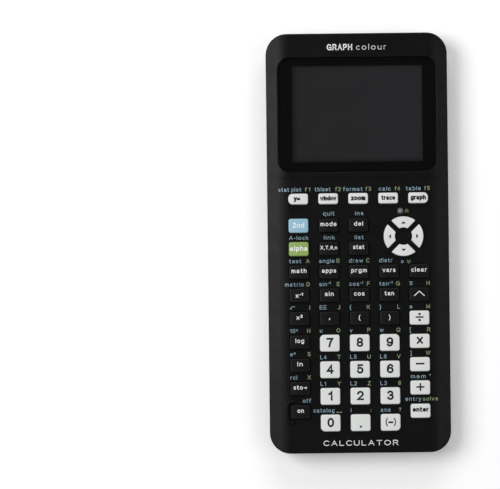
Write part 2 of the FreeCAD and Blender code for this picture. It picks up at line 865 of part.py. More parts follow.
def screw_pilot(number, x, y):
    depth = "sizes.screw_tip - sizes.split_height"
    return cylinder(f"pilot_{number}", "sizes.screw_radius", depth, x, y, "sizes.split_height")


def port_openings():
    """Openings in the front cover's end wall for the two sockets and the charge lamp."""
    gap = "2 * sizes.port_gap"
    wall = "4 * sizes.case_wall"
    middle = "sizes.split_height + sizes.socket_height / 2"
    usb = box(
        "usb_port_opening",
        f"sizes.usb_width + {gap}",
        wall,
        "sizes.socket_height + sizes.port_gap + 1",
        "sizes.usb_x",
        "sizes.case_length / 2",
        "sizes.split_height - 1",
    )
    lamp = box(
        "lamp_opening",
        "sizes.lamp_width + 0.2",
        wall,
        "sizes.lamp_height + 0.2",
        "0",
        "sizes.case_length / 2",
        f"{middle} - sizes.lamp_height / 2 - 0.1",
    )
    arch = "(sizes.link_nose_radius + 0.2)"
    link_round = cylinder_along_y(
        "link_port_round",
        arch,
        wall,
        "sizes.link_x",
        "sizes.case_length / 2 - 2 * sizes.case_wall",
        middle,
    )
    link_foot = box(
        "link_port_foot",
        f"2 * {arch}",
        wall,
        "sizes.socket_height / 2 + 1",
        "sizes.link_x",
        "sizes.case_length / 2",
        "sizes.split_height - 1",
    )
    link = fuse("link_port_opening", [link_round, link_foot])
    return [usb, lamp, link]


# ---------------------------------------------------------------- rear cover


def build_rear_cover():
    body = new_body("rear_shell")
    outline = case_outline(body, "back_outline", "sizes.foot_height")
    shell = pad(body, outline, "sizes.split_height - sizes.foot_height")
    doc.recompute([shell], True)
    back = edges_where(shell.Shape, at_height(measure("sizes.foot_height")))
    rounded = dress(body, "Fillet", shell, back, "back_rim", "Radius", "sizes.back_round")
    doc.recompute([rounded], True)
    upper = edges_where(rounded.Shape, at_height(measure("sizes.split_height")))
    dress(body, "Chamfer", rounded, upper, "rear_seam", "Size", "sizes.seam_bevel")

    cavity = case_outline(body, "back_cavity", "sizes.split_height", "sizes.case_wall")
    depth = "sizes.split_height - sizes.foot_height - sizes.floor_plate"
    hollow = pocket(body, cavity, depth)
    doc.recompute([hollow], True)
    floor_top = "sizes.foot_height + sizes.floor_plate"
    dress(
        body,
        "Fillet",
        hollow,
        edges_where(hollow.Shape, at_height(measure(floor_top))),
        "floor_round",
        "Radius",
        "sizes.floor_round",
    )

    shelf = new_sketch(body, "door_shelf", offset=floor_top, centre=("0", "sizes.door_y"))
    rounded_rectangle(
        shelf, "sizes.door_width + 4", "sizes.door_length + 6", ("sizes.door_corner",) * 4
    )
    pad(body, shelf, "sizes.door_shelf")
    bay = new_sketch(body, "battery_bay", offset=floor_top, centre=("0", "sizes.battery_y"))
    wall = "2 * sizes.bay_wall"
    rounded_rectangle(
        bay, f"sizes.bay_width + {wall}", f"sizes.bay_length + {wall}", ("sizes.bay_wall",) * 4
    )
    board_bottom = "sizes.split_height - sizes.board_thickness"
    pad(body, bay, f"{board_bottom} - ({floor_top})")

    stands = [
        (f"rear_post_{n}", x, y, "sizes.post_back_radius", "sizes.split_height")
        for n, (x, y) in enumerate(POSTS, 1)
    ]
    stands.append(("door_screw_post", "0", "sizes.door_screw_y", "sizes.post_radius", board_bottom))
    for name, x, y, radius, top in stands:
        stand = new_sketch(body, name, offset="sizes.foot_height + 0.8", centre=(x, y))
        disc(stand, radius)
        pad(body, stand, f"{top} - sizes.foot_height - 0.8")

    room = new_sketch(
        body, "battery_room", offset="sizes.foot_height", centre=("0", "sizes.battery_y")
    )
    rounded_rectangle(room, "sizes.bay_width", "sizes.bay_length", ("0.5",) * 4)
    pocket(body, room, "sizes.split_height", up=True)
    recess = new_sketch(
        body, "door_recess", offset="sizes.foot_height", centre=("0", "sizes.door_y")
    )
    rounded_rectangle(recess, "sizes.door_width", "sizes.door_length", ("sizes.door_corner",) * 4)
    pocket(body, recess, "sizes.floor_plate", up=True)
    for number, (x, y) in enumerate(((a, b) for a in (-1, 1) for b in (-1, 1)), 1):
        centre = (f"sizes.foot_x * ({x})", f"sizes.foot_y * ({y})")
        seat = new_sketch(body, f"foot_seat_{number}", offset="sizes.foot_height", centre=centre)
        disc(seat, "sizes.foot_radius + 0.05")
        pocket(body, seat, "sizes.foot_recess", up=True)
    for side in (-1, 1):
        rail = new_sketch(
            body,
            "left_rail" if side < 0 else "right_rail",
            plane="XZ_Plane",
            centre=(f"sizes.case_width / 2 * ({side})", "sizes.rail_height"),
        )
        radius = "sizes.rail_width * 0.2"
        rounded_rectangle(rail, "2 * sizes.rail_depth", "sizes.rail_width", (radius,) * 4)
        pocket(body, rail, "sizes.case_length + 4", symmetric=True)
    doc.recompute([body], True)

    tools = []
    for number, (x, y) in enumerate(POSTS, 1):
        low = "sizes.foot_height - 1"
        deep = "sizes.screw_well_depth + 1"
        well = cylinder(f"well_{number}", "sizes.screw_well_radius", deep, x, y, low)
        hole = "sizes.screw_radius + 0.2"
        shaft = cylinder(f"shaft_{number}", hole, "sizes.split_height + 1", x, y, low)
        tools.append(fuse(f"screw_way_{number}", [well, shaft]))
    tools.append(
        cylinder(
            "door_screw_hole",
            "sizes.screw_radius + 0.35",
            "sizes.door_screw_tip",
            "0",
            "sizes.door_screw_y",
            "sizes.foot_height",
        )
    )
    tools.append(
        cylinder(
            "reset_hole",
            "sizes.reset_hole_radius",
            "2 * sizes.floor_plate",
            "sizes.reset_x",
            "sizes.reset_y",
            "sizes.foot_height - 0.5",
        )
    )
    for side in (-1, 1):
        tools.append(
            box(
                "left_tab_slot" if side < 0 else "right_tab_slot",
                "sizes.door_tab_width + 0.6",
                "sizes.door_tab_reach + 2.4",
                "3",
                f"sizes.door_tab_x * ({side})",
                "sizes.door_y + sizes.door_length / 2 + sizes.door_tab_reach / 2",
                "sizes.door_tab_bottom - 0.1",
            )
        )
    tools.append(
        box(
            "lead_slot",
            "2.5 * sizes.lead_width",
            "3 * sizes.bay_wall",
            "3 * sizes.lead_height",
            "sizes.connector_x",
            "sizes.battery_y + sizes.bay_length / 2 + sizes.bay_wall / 2",
            f"{board_bottom} - 2 * sizes.lead_height",
        )
    )
    shell_cut = cut("rear_cover_cut", body, compound("rear_cover_tools", tools))
    keep(shell_cut, "rear_cover")


# ---------------------------------------------------------------- display


def build_display():
    body = new_body("display_window")
    sheet = new_sketch(
        body, "window_sheet", offset="sizes.window_seat", centre=("0", "sizes.display_y")
    )
    rounded_rectangle(
        sheet, "sizes.window_width", "sizes.window_length", ("sizes.window_corner",) * 4
    )
    plate = pad(body, sheet, "sizes.window_thickness")
    doc.recompute([plate], True)
    top = edges_where(plate.Shape, at_height(measure("sizes.window_seat + sizes.window_thickness")))
    dress(body, "Fillet", plate, top, "window_rim", "Radius", "sizes.window_edge")
    keep(body, "display_window")

    frame = box(
        "panel_backlight",
        "sizes.panel_width",
        "sizes.panel_length",
        "sizes.panel_frame",
        "0",
        "sizes.panel_y",
        "sizes.split_height",
    )
    glass = box(
        "panel_glass",
        "sizes.panel_width - 2 * sizes.panel_margin",
        "sizes.panel_length - 2 * sizes.panel_margin",
        "sizes.panel_glass",
        "0",
        "sizes.panel_y",
        "sizes.split_height + sizes.panel_frame",
    )
    ribbon = box(
        "panel_ribbon",
        "4 * sizes.ribbon_length",
        "sizes.ribbon_length",
        "sizes.ribbon_thickness",
        "0",
        "sizes.panel_y - sizes.panel_length / 2 - sizes.ribbon_length / 2",
        "sizes.split_height",
    )
    keep(compound("display_module", [frame, glass, ribbon]), "display_module")


# ---------------------------------------------------------------- key mat


def build_key_mat():
    lift = "sizes.key_seat - sizes.split_height - sizes.mat_thickness"
    base = "sizes.split_height + sizes.mat_thickness"
    sheet = box(
        "mat_sheet",
        "sizes.mat_width",
        "sizes.mat_length",
        "sizes.mat_thickness",
        "0",
        "sizes.mat_y",
        "sizes.split_height",
    )
    domes, hollows = [sheet], []
    for name, x, y in dome_places():
        low, high = "sizes.dome_base_radius", "sizes.dome_top_radius"
        domes.append(cone(f"{name}_dome", low, high, lift, x, y, base))
        hollows.append(
            cone(
                f"{name}_dome_hollow",
                f"{low} - sizes.dome_wall",
                f"{high} - sizes.dome_wall",
                f"{lift} + sizes.mat_thickness - sizes.dome_wall",
                x,
                y,
                "sizes.split_height",
            )
        )
    mat = cut("key_mat", fuse("mat_solid", domes), compound("mat_hollows", hollows))
    keep(mat, "key_mat")


# ---------------------------------------------------------------- circuit board


def cell_or_number(size):
    """An expression for a size given as a number or as the name of its cell."""
    return f"sizes.{size}" if isinstance(size, str) else str(size)


def build_main_board():
    body = new_body("board")
    bottom = "sizes.split_height - sizes.board_thickness"
    outline = new_sketch(body, "board_outline", offset=bottom)
    rounded_rectangle(
        outline, "sizes.board_width", "sizes.board_length", ("sizes.board_corner",) * 4
    )
    pad(body, outline, "sizes.board_thickness")
    for number, (x, y) in enumerate(POSTS, 1):
        notch = new_sketch(body, f"board_notch_{number}", offset="sizes.split_height", centre=(x, y))
        disc(notch, "sizes.board_notch_radius")
        pocket(body, notch, "sizes.board_thickness")
    doc.recompute([body], True)

    middle = "sizes.split_height + sizes.socket_height / 2"
    socket_middle = "sizes.socket_y + sizes.socket_length / 2"
    usb_shell = box(
        "usb_shell",
        "sizes.usb_width",
        "sizes.socket_length",
        "sizes.socket_height",
        "sizes.usb_x",
        socket_middle,
        "sizes.split_height",
    )
    usb_mouth = box(
        "usb_mouth",
        "sizes.usb_width - 0.8",
        "sizes.socket_length",
        "sizes.socket_height - 0.8",
        "sizes.usb_x",
        f"{socket_middle} + 1",
        "sizes.split_height + 0.4",
    )
    usb_tongue = box(
        "usb_tongue",
        "sizes.usb_width - 3",
        "sizes.socket_length - 2.5",
        "0.8",
        "sizes.usb_x",
        f"{socket_middle} - 0.25",
        f"{middle} - 0.4",
    )
    usb = cut("usb_socket", usb_shell, usb_mouth)
    nose_length = "(sizes.case_wall + 1)"
    block_length = f"(sizes.socket_length - {nose_length})"
    link_block = box(
        "link_block",
        "sizes.link_width",
        block_length,
        "sizes.socket_height",
        "sizes.link_x",
        f"sizes.socket_y + {block_length} / 2",
        "sizes.split_height",
    )
    link_nose = cylinder_along_y(
        "link_nose",
        "sizes.link_nose_radius",
        nose_length,
        "sizes.link_x",
        f"sizes.socket_y + {block_length}",
        middle,
    )
    bore = cylinder_along_y(
        "link_bore",
        "sizes.link_bore_radius",
        "sizes.link_bore_depth",
        "sizes.link_x",
        "sizes.socket_y + sizes.socket_length - sizes.link_bore_depth",
        middle,
    )
    link = cut("link_socket", fuse("link_body", [link_block, link_nose]), bore)
    lamp = box(
        "charge_lamp",
        "sizes.lamp_width",
        "sizes.socket_length",
        "sizes.lamp_height",
        "0",
        socket_middle,
        f"{middle} - sizes.lamp_height / 2",
    )
    lamp_foot = box(
        "charge_lamp_foot",
        "sizes.lamp_width",
        "2",
        "sizes.socket_height / 2 - sizes.lamp_height / 2",
        "0",
        "sizes.socket_y + 1",
        "sizes.split_height",
    )
    chips = [
        # name, width, length, height, x, y: each a size in millimetres or the name of its cell
        ("processor", 13, 13, 1.2, 0, 46),
        ("flash_memory", 9, 7, 1.0, 18, 48),
        ("power_controller", 6, 6, 1.0, -12, 68),
        ("shield_can", 20, 15, 1.8, 16, 68),
        ("clock_crystal", 4, 2.4, 1.0, -12, 52),
        ("battery_connector", 6, 4, "connector_height", "connector_x", "connector_y"),
        ("inductor", 5, 5, 2.0, -22, 62),
        ("reset_switch", 4.6, 4.6, "reset_height", "reset_x", "reset_y"),
        ("keypad_controller", 8, 8, 1.0, 0, -76),
    ]
    parts = []
    for name, *chip in chips:
        width, length, height, x, y = (cell_or_number(size) for size in chip)
        parts.append(box(name, width, length, height, x, y, f"{bottom} - {height}"))
    plunger = cylinder(
        "reset_plunger",
        "sizes.plunger_radius",
        "sizes.plunger_radius",
        "sizes.reset_x",
        "sizes.reset_y",
        f"{bottom} - sizes.reset_height - sizes.plunger_radius",
    )
    solids = [body, usb, usb_tongue, link, lamp, lamp_foot, *parts, plunger]
    keep(compound("main_board", solids), "main_board")


# ---------------------------------------------------------------- battery and door


def build_battery():
    body = new_body("battery_cell")
    outline = new_sketch(
        body, "cell_outline", offset="sizes.battery_bottom", centre=("0", "sizes.battery_y")
    )
    rounded_rectangle(
        outline, "sizes.battery_width", "sizes.battery_length", ("sizes.battery_corner",) * 4
    )
    cell = pad(body, outline, "sizes.battery_thickness")
    doc.recompute([cell], True)
    long_edges = edges_where(
        cell.Shape,
        lambda p: abs(abs(p.x) - measure("sizes.battery_width / 2")) < 1e-3,
    )
    dress(body, "Fillet", cell, long_edges, "cell_round", "Radius", "sizes.battery_round")
    cell_end = "(sizes.battery_y + sizes.battery_length / 2)"
    connector_end = "(sizes.connector_y - 2)"
    lead = box(
        "battery_lead",
        "sizes.lead_width",
        f"{connector_end} - {cell_end}",
        "sizes.lead_height",
        "sizes.connector_x",
        f"({connector_end} + {cell_end}) / 2",
        "sizes.battery_bottom + sizes.battery_thickness - 1.4 * sizes.lead_height",
    )
    keep(compound("battery_pack", [body, lead]), "battery_pack")


def build_battery_cover():
    body = new_body("door_plate")
    outline = new_sketch(
        body, "door_outline", offset="sizes.foot_height", centre=("0", "sizes.door_y")
    )
    gap = "2 * sizes.door_gap"
    rounded_rectangle(
        outline,
        f"sizes.door_width - {gap}",
        f"sizes.door_length - {gap}",
        ("sizes.door_corner - sizes.door_gap",) * 4,
    )
    plate = pad(body, outline, "sizes.floor_plate")
    doc.recompute([plate], True)
    under = edges_where(plate.Shape, at_height(measure("sizes.foot_height")))
    dress(body, "Fillet", plate, under, "door_rim", "Radius", "sizes.door_rim")
    end = "sizes.door_y + sizes.door_length / 2 - sizes.door_gap"
    for side, name in ((-1, "left_tab"), (1, "right_tab")):
        tab = new_sketch(
            body,
            name,
            offset="sizes.door_tab_bottom",
            centre=(f"sizes.door_tab_x * ({side})", f"{end} - 1 + sizes.door_tab_reach / 2"),
        )
        rounded_rectangle(
            tab, "sizes.door_tab_width", "sizes.door_tab_reach + 2", ("0.3",) * 4
        )
        top = "sizes.foot_height + sizes.floor_plate - sizes.door_tab_bottom"
        pad(body, tab, top)
    well = new_sketch(
        body, "door_screw_well", offset="sizes.foot_height", centre=("0", "sizes.door_screw_y")
    )
    disc(well, "sizes.screw_head_radius + 0.15")
    pocket(body, well, "1.25 * sizes.door_head_height", up=True)
    through = new_sketch(
        body, "door_screw_through", offset="sizes.foot_height", centre=("0", "sizes.door_screw_y")
    )
    disc(through, "sizes.screw_radius")
    pocket(body, through, "sizes.floor_plate + 1", up=True)
    for number in range(5):
        rib = new_sketch(
            body,
            f"grip_groove_{number + 1}",
            offset="sizes.foot_height",
            centre=("0", f"sizes.door_screw_y + 8 + sizes.grip_rib_pitch * {number}"),
        )
        width = f"sizes.grip_width - sizes.grip_rib_pitch * {number}"
        rounded_rectangle(rib, width, "sizes.grip_groove", ("0.4 * sizes.grip_groove",) * 4)
        pocket(body, rib, "sizes.grip_groove / 2", up=True)
    doc.recompute([body], True)
    head_bottom = "sizes.foot_height + sizes.door_head_height / 4"
    screw = screw_solid(
        "door_screw",
        "0",
        "sizes.door_screw_y",
        head_bottom,
        "sizes.door_head_height",
        "sizes.door_screw_tip",
    )
    keep(compound("battery_cover_group", [body, screw]), "battery_cover")


# ---------------------------------------------------------------- fasteners and feet


def screw_solid(name, x, y, head_bottom, head_height, tip):
    """A pan-head screw standing on its head, with a cross recess."""
    head = cylinder(f"{name}_head", "sizes.screw_head_radius", head_height, x, y, head_bottom)
    top = f"{head_bottom} + {head_height}"
    shank = cylinder(f"{name}_shank", "sizes.screw_radius", f"({tip}) - ({top})", x, y, top)
    slots = [
        box(f"{name}_slot_{n}", w, l, f"{head_height} * 0.6", x, y, f"{head_bottom} - 0.001")
        for n, (w, l) in enumerate((("2.2", "0.5"), ("0.5", "2.2")), 1)
    ]
    return cut(name, fuse(f"{name}_blank", [head, shank]), compound(f"{name}_recess", slots))


def build_case_screws():
    bottom = "sizes.foot_height + sizes.screw_well_depth - sizes.screw_head_height"
    screws = [
        screw_solid(f"case_screw_{n}", x, y, bottom, "sizes.screw_head_height", "sizes.screw_tip")
        for n, (x, y) in enumerate(POSTS, 1)
    ]
    keep(compound("case_screws", screws), "case_screws")


def build_feet():
    feet = []
    for number, (x, y) in enumerate(((a, b) for a in (-1, 1) for b in (-1, 1)), 1):
        body = new_body(f"rubber_foot_{number}")
        outline = new_sketch(
            body, f"foot_outline_{number}", centre=(f"sizes.foot_x * ({x})", f"sizes.foot_y * ({y})")
        )
        disc(outline, "sizes.foot_radius")
        block = pad(body, outline, "sizes.foot_height + sizes.foot_recess")
        doc.recompute([block], True)
        sole = edges_where(block.Shape, at_height(0))
        dress(body, "Fillet", block, sole, f"foot_rim_{number}", "Radius", "sizes.foot_edge")
        feet.append(body)
    keep(compound("rubber_feet", feet), "rubber_feet")


# ---------------------------------------------------------------- build, check and write


def check_document():
    """Stops on any failed feature, and on any sub-part without a valid, positive solid."""
    for item in doc.Objects:
        if "Invalid" in item.State or "Error" in item.State:
            raise SystemExit(f"{item.Name} failed: {item.State}")
    for piece in subparts:
        shape = piece.Shape
        if shape.isNull() or not shape.isValid() or not shape.Solids or shape.Volume <= 0:
            raise SystemExit(f"{piece.Label} has no valid solid")


def write_steps():
    os.makedirs("parts", exist_ok=True)
    for piece in subparts:
        piece.Shape.exportStep(os.path.join("parts", f"{piece.Label}.step"))


build_front_cover()
build_rear_cover()
build_display()
build_key_mat()
build_main_board()
build_battery()
build_battery_cover()
build_case_screws()
build_feet()
build_keys()
doc.recompute()
check_document()
write_steps()
print(f"{len(subparts)} sub-parts written")
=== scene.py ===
import math

import bmesh
import bpy
from mathutils import Matrix, Vector
from mathutils.bvhtree import BVHTree


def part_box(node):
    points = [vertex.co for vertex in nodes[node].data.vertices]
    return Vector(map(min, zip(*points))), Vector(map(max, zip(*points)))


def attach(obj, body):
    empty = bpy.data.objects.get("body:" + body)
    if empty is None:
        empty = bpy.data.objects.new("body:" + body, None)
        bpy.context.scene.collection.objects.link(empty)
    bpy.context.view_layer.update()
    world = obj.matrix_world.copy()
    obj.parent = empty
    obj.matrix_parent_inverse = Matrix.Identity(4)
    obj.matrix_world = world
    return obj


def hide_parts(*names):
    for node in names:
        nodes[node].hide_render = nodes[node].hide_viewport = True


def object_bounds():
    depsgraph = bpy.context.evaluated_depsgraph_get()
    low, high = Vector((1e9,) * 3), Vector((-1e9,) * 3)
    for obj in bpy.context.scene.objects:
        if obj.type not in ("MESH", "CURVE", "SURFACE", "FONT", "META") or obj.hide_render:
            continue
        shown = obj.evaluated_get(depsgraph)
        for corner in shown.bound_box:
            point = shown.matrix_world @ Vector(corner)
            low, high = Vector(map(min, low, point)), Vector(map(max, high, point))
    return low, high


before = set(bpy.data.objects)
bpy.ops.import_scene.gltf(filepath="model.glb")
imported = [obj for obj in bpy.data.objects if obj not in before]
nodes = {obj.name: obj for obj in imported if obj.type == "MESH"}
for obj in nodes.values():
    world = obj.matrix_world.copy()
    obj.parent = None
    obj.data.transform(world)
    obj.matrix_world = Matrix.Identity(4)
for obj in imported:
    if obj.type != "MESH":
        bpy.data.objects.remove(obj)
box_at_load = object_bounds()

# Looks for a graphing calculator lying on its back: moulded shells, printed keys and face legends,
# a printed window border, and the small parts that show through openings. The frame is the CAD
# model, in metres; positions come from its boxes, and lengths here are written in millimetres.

MM = 0.001

# ---------------------------------------------------------------- measurements

KEY_LIP = 0.6 * MM            # each key's box includes the lip under the face plate
LEGEND_HEIGHT = 1.9 * MM      # lettering sizes are capital heights
LEGEND_WEIGHT = 0.22 * MM
NAME_HEIGHT = 2.7 * MM
NAME_SPAN = 27 * MM           # the wording above the window, from its left end to its right end
LETTER_GAP = 0.31             # from one letter's last pen line to the next one's origin
WORD_GAP = 0.35
ARC_STEP = 15                 # degrees between the points of a drawn arc
INK_LIFT = 0.02 * MM
STRIP = 0.8 * MM              # lettering is cut into strips this wide to follow a curved top
LEGEND_GAP = 1.0 * MM         # from a key's top edge to its legends' baseline
HIGH_GAP = 1.35 * MM
SECOND_LEFT = -4.4 * MM       # legends' left and right ends, from their key's centre
ALPHA_RIGHT = 4.85 * MM


def window_opening():
    """Lowest and highest corner of the clear part of the window, in plan."""
    low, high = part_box("display_window")
    middle = ((low + high) / 2).to_2d() + Vector((0, 0.45 * MM))
    half = Vector((29.85 * MM, 22 * MM))
    return middle - half, middle + half


# ---------------------------------------------------------------- materials


def linear(*levels):
    """A colour given as 0 to 255 screen levels, as linear light."""
    return tuple(
        c / 12.92 if c <= 0.04045 else ((c + 0.055) / 1.055) ** 2.4
        for c in (level / 255 for level in levels)
    )


class Shader:
    """A Principled material with short calls for the nodes that feed it."""

    def __init__(self, name, **settings):
        self.material = bpy.data.materials.new(name)
        self.material.use_nodes = True
        self.tree = self.material.node_tree
        self.main = self.tree.nodes["Principled BSDF"]
        self.place = self.node("ShaderNodeTexCoord").outputs["Object"]
        for socket, value in settings.items():
            self.main.inputs[socket.replace("_", " ")].default_value = value

    def node(self, kind, **attributes):
        made = self.tree.nodes.new(kind)
        for attribute, value in attributes.items():
            setattr(made, attribute, value)
        return made

    def link(self, source, target):
        self.tree.links.new(source, target)

    def noise(self, size, detail=2.0, rough=0.5, stretch=None):
        """Noise with features of about one size, in metres, stretched along the axes if asked."""
        made = self.node("ShaderNodeTexNoise")
        made.inputs["Scale"].default_value = 1 / size
        made.inputs["Detail"].default_value = detail
        made.inputs["Roughness"].default_value = rough
        source = self.place
        if stretch:
            mapping = self.node("ShaderNodeMapping")
            mapping.inputs["Scale"].default_value = stretch
            self.link(self.place, mapping.inputs["Vector"])
            source = mapping.outputs["Vector"]
        self.link(source, made.inputs["Vector"])
        return made.outputs["Fac"]

    def cells(self, size):
        """Rounded pits or pebbles of about one size."""
        made = self.node("ShaderNodeTexVoronoi", feature="SMOOTH_F1")
        made.inputs["Scale"].default_value = 1 / size
        made.inputs["Smoothness"].default_value = 0.6
        self.link(self.place, made.inputs["Vector"])
        return made.outputs["Distance"]

    def ranged(self, source, low, high, start=0.3, end=0.7):
        made = self.node("ShaderNodeMapRange")
        made.inputs["From Min"].default_value = start
        made.inputs["From Max"].default_value = end
        made.inputs["To Min"].default_value = low
        made.inputs["To Max"].default_value = high
        self.link(source, made.inputs["Value"])
        return made.outputs["Result"]

    def tint(self, source, first, second):
        """A colour that varies from first to second with source."""
        made = self.node("ShaderNodeMix", data_type="RGBA")
        made.inputs["A"].default_value = (*first, 1)
        made.inputs["B"].default_value = (*second, 1)
        self.link(source, made.inputs["Factor"])
        return made.outputs["Result"]

    def product(self, first, second):
        made = self.node("ShaderNodeMix", data_type="RGBA", blend_type="MULTIPLY")
        made.inputs["Factor"].default_value = 1.0
        self.link(first, made.inputs["A"])
        self.link(second, made.inputs["B"])
        return made.outputs["Result"]

    def colour(self, source, first, second):
        self.link(self.tint(source, first, second), self.main.inputs["Base Color"])

    def roughness(self, source, low, high):
        self.link(self.ranged(source, low, high), self.main.inputs["Roughness"])

    def bump(self, *layers):
        """Stacks height layers, each a source and its depth in metres."""
        under = None
        for source, depth in layers:
            made = self.node("ShaderNodeBump")
            made.inputs["Distance"].default_value = depth
            made.inputs["Strength"].default_value = 1.0
            self.link(source, made.inputs["Height"])
            if under:
                self.link(under, made.inputs["Normal"])
            under = made.outputs["Normal"]
        self.link(under, self.main.inputs["Normal"])


def scaled(colour, factor):
    return tuple(min(channel * factor, 1) for channel in colour)


def moulded(name, colour, roughness, grain=0.35 * MM, depth=0.006 * MM, gloss=0.4, mottle=0.12):
    """Moulded plastic: eroded grain, slightly uneven sheen and a faint drift in tone."""
    shader = Shader(name, IOR=1.46, Specular_IOR_Level=gloss)
    broad = shader.noise(14 * MM, detail=3)
    grains = shader.noise(grain, detail=3, rough=0.65)
    shader.colour(shader.ranged(broad, 0, 1), scaled(colour, 1 - mottle), scaled(colour, 1 + mottle))
    shader.roughness(shader.noise(5 * MM, detail=4), roughness - 0.04, roughness + 0.05)
    shader.bump((grains, depth), (shader.noise(2.2 * MM), depth))
    return shader.material


def ink(name, colour):
    """Screen-printed ink, a little patchy, with a fine ragged sheen."""
    shader = Shader(name, Specular_IOR_Level=0.3)
    patchy = shader.noise(0.5 * MM, detail=2)
    shader.colour(shader.ranged(patchy, 0, 1), scaled(colour, 0.93), scaled(colour, 1.04))
    shader.roughness(shader.noise(0.9 * MM), 0.48, 0.6)
    shader.bump((shader.noise(0.12 * MM), 0.002 * MM))
    return shader.material


def clear_window(name):
    """Hard clear plastic: see-through, with a polished, very slightly wavy surface."""
    shader = Shader(name, Alpha=0.08, IOR=1.49, Specular_IOR_Level=0.5)
    drift = shader.noise(20 * MM)
    shader.colour(drift, (0.012, 0.012, 0.014), (0.018, 0.018, 0.022))
    shader.roughness(shader.noise(7 * MM), 0.05, 0.09)
    shader.bump((shader.noise(26 * MM), 0.02 * MM))
    shader.material.surface_render_method = "BLENDED"
    return shader.material


def window_border(name):
    """Gloss black print on the underside of the window."""
    shader = Shader(name, Specular_IOR_Level=0.04)
    speck = shader.noise(0.25 * MM, detail=3)
    shader.colour(speck, linear(3, 3, 3), linear(5, 5, 5))
    shader.roughness(shader.noise(3 * MM), 0.3, 0.4)
    return shader.material


def dark_panel(name):
    """A switched-off colour display: warm dark grey, bluer to the right, with a faint pixel grid.

    It darkens towards the left and bottom rims: painted shade, standing in for the shadow of the
    window's border."""
    shader = Shader(name, IOR=1.5, Specular_IOR_Level=0.2)
    low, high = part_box("display_module")
    split = shader.node("ShaderNodeSeparateXYZ")
    shader.link(shader.place, split.inputs["Vector"])
    drift = shader.ranged(split.outputs["X"], 0, 1, low.x, high.x)
    tone = shader.tint(drift, linear(34, 31, 32), linear(38, 36, 39))
    pixels = shader.node("ShaderNodeTexBrick", offset=0)
    pixels.inputs["Scale"].default_value = 1 / (0.9 * MM)
    pixels.inputs["Brick Width"].default_value = 0.5
    pixels.inputs["Row Height"].default_value = 0.5
    pixels.inputs["Mortar Size"].default_value = 0.03
    shader.link(shader.place, pixels.inputs["Vector"])
    pixels.inputs["Mortar"].default_value = (0.8, 0.8, 0.8, 1)
    for socket in ("Color1", "Color2"):
        pixels.inputs[socket].default_value = (1, 1, 1, 1)
    shade = pixels.outputs["Color"]
    opening = window_opening()
    # painted shade: the panel's colour is darkened near the left and bottom edges of the window
    # opening, in place of the border's shadow
    for axis, rim, reach in (("X", opening[0].x, 3.4 * MM), ("Y", opening[0].y, 2 * MM)):
        painted_rim_shade = shader.ranged(split.outputs[axis], 0.15, 1, rim, rim + reach)
        shade = shader.product(shade, painted_rim_shade)
    shader.link(shader.product(tone, shade), shader.main.inputs["Base Color"])
    shader.roughness(shader.noise(9 * MM), 0.32, 0.42)
    return shader.material


def steel(name, colour, roughness):
    """Plated steel with fine scratches."""
    shader = Shader(name, Metallic=1.0)
    scratches = shader.noise(0.3 * MM, detail=5, stretch=(1, 6, 6))
    shader.colour(scratches, scaled(colour, 0.8), scaled(colour, 1.15))
    shader.roughness(scratches, roughness - 0.08, roughness + 0.1)
    shader.bump((scratches, 0.004 * MM))
    return shader.material


def rubber(name, colour):
    shader = Shader(name, Specular_IOR_Level=0.25)
    pebbles = shader.cells(0.45 * MM)
    shader.colour(shader.noise(3 * MM), scaled(colour, 0.85), scaled(colour, 1.2))
    shader.roughness(shader.noise(1.5 * MM), 0.72, 0.85)
    shader.bump((pebbles, 0.02 * MM), (shader.noise(0.1 * MM), 0.006 * MM))
    return shader.material


def laminate(name):
    """Green solder mask over copper that shows as paler tracks."""
    shader = Shader(name, Specular_IOR_Level=0.5)
    tracks = shader.node("ShaderNodeTexBrick", offset=0.37)
    tracks.inputs["Scale"].default_value = 1 / (6 * MM)
    tracks.inputs["Mortar Size"].default_value = 0.035
    tracks.inputs["Color1"].default_value = (*linear(18, 74, 40), 1)
    tracks.inputs["Color2"].default_value = (*linear(22, 82, 46), 1)
    tracks.inputs["Mortar"].default_value = (*linear(58, 128, 78), 1)
    shader.link(shader.place, tracks.inputs["Vector"])
    shader.link(tracks.outputs["Color"], shader.main.inputs["Base Color"])
    shader.roughness(shader.noise(2 * MM), 0.3, 0.42)
    shader.bump((tracks.outputs["Fac"], 0.02 * MM))
    return shader.material


def studio_floor(name):
    """Plain pale paper, lit a little from below so that it stays near white."""
    shader = Shader(name, Specular_IOR_Level=0.1, Emission_Color=(1, 1, 1, 1), Emission_Strength=0.14)
    fibres = shader.noise(2.5 * MM, detail=5, rough=0.7)
    shader.colour(fibres, (0.93, 0.93, 0.93), (0.97, 0.97, 0.97))
    shader.roughness(fibres, 0.8, 0.9)
    shader.bump((fibres, 0.05 * MM))
    return shader.material


face_black = moulded("face_black", linear(10, 10, 10), 0.36, grain=0.25 * MM, gloss=0.15)
back_black = moulded("back_black", linear(24, 24, 25), 0.6, grain=0.6 * MM, depth=0.03 * MM, gloss=0.3)
key_black = moulded("key_black", linear(13, 13, 13), 0.38, grain=0.2 * MM, depth=0.003 * MM, gloss=0.2)
key_white = moulded("key_white", linear(221, 223, 221), 0.35, depth=0.003 * MM, mottle=0.012)
key_blue = moulded("key_blue", linear(148, 187, 206), 0.35, depth=0.003 * MM, mottle=0.02)
key_green = moulded("key_green", linear(141, 168, 92), 0.35, depth=0.003 * MM, mottle=0.02)
ink_white = ink("ink_white", linear(240, 242, 242))
ink_black = ink("ink_black", linear(18, 18, 20))
ink_second = ink("ink_second", linear(150, 179, 193))
ink_alpha = ink("ink_alpha", linear(152, 166, 128))
window_clear = clear_window("window_clear")
border_print = window_border("window_border")
panel_dark = dark_panel("panel_dark")
panel_frame = moulded("panel_frame", linear(200, 200, 196), 0.5)
screw_black = steel("screw_black", linear(70, 70, 74), 0.38)
plated = steel("plated_shell", linear(190, 190, 192), 0.25)
foot_rubber = rubber("foot_rubber", linear(26, 26, 27))
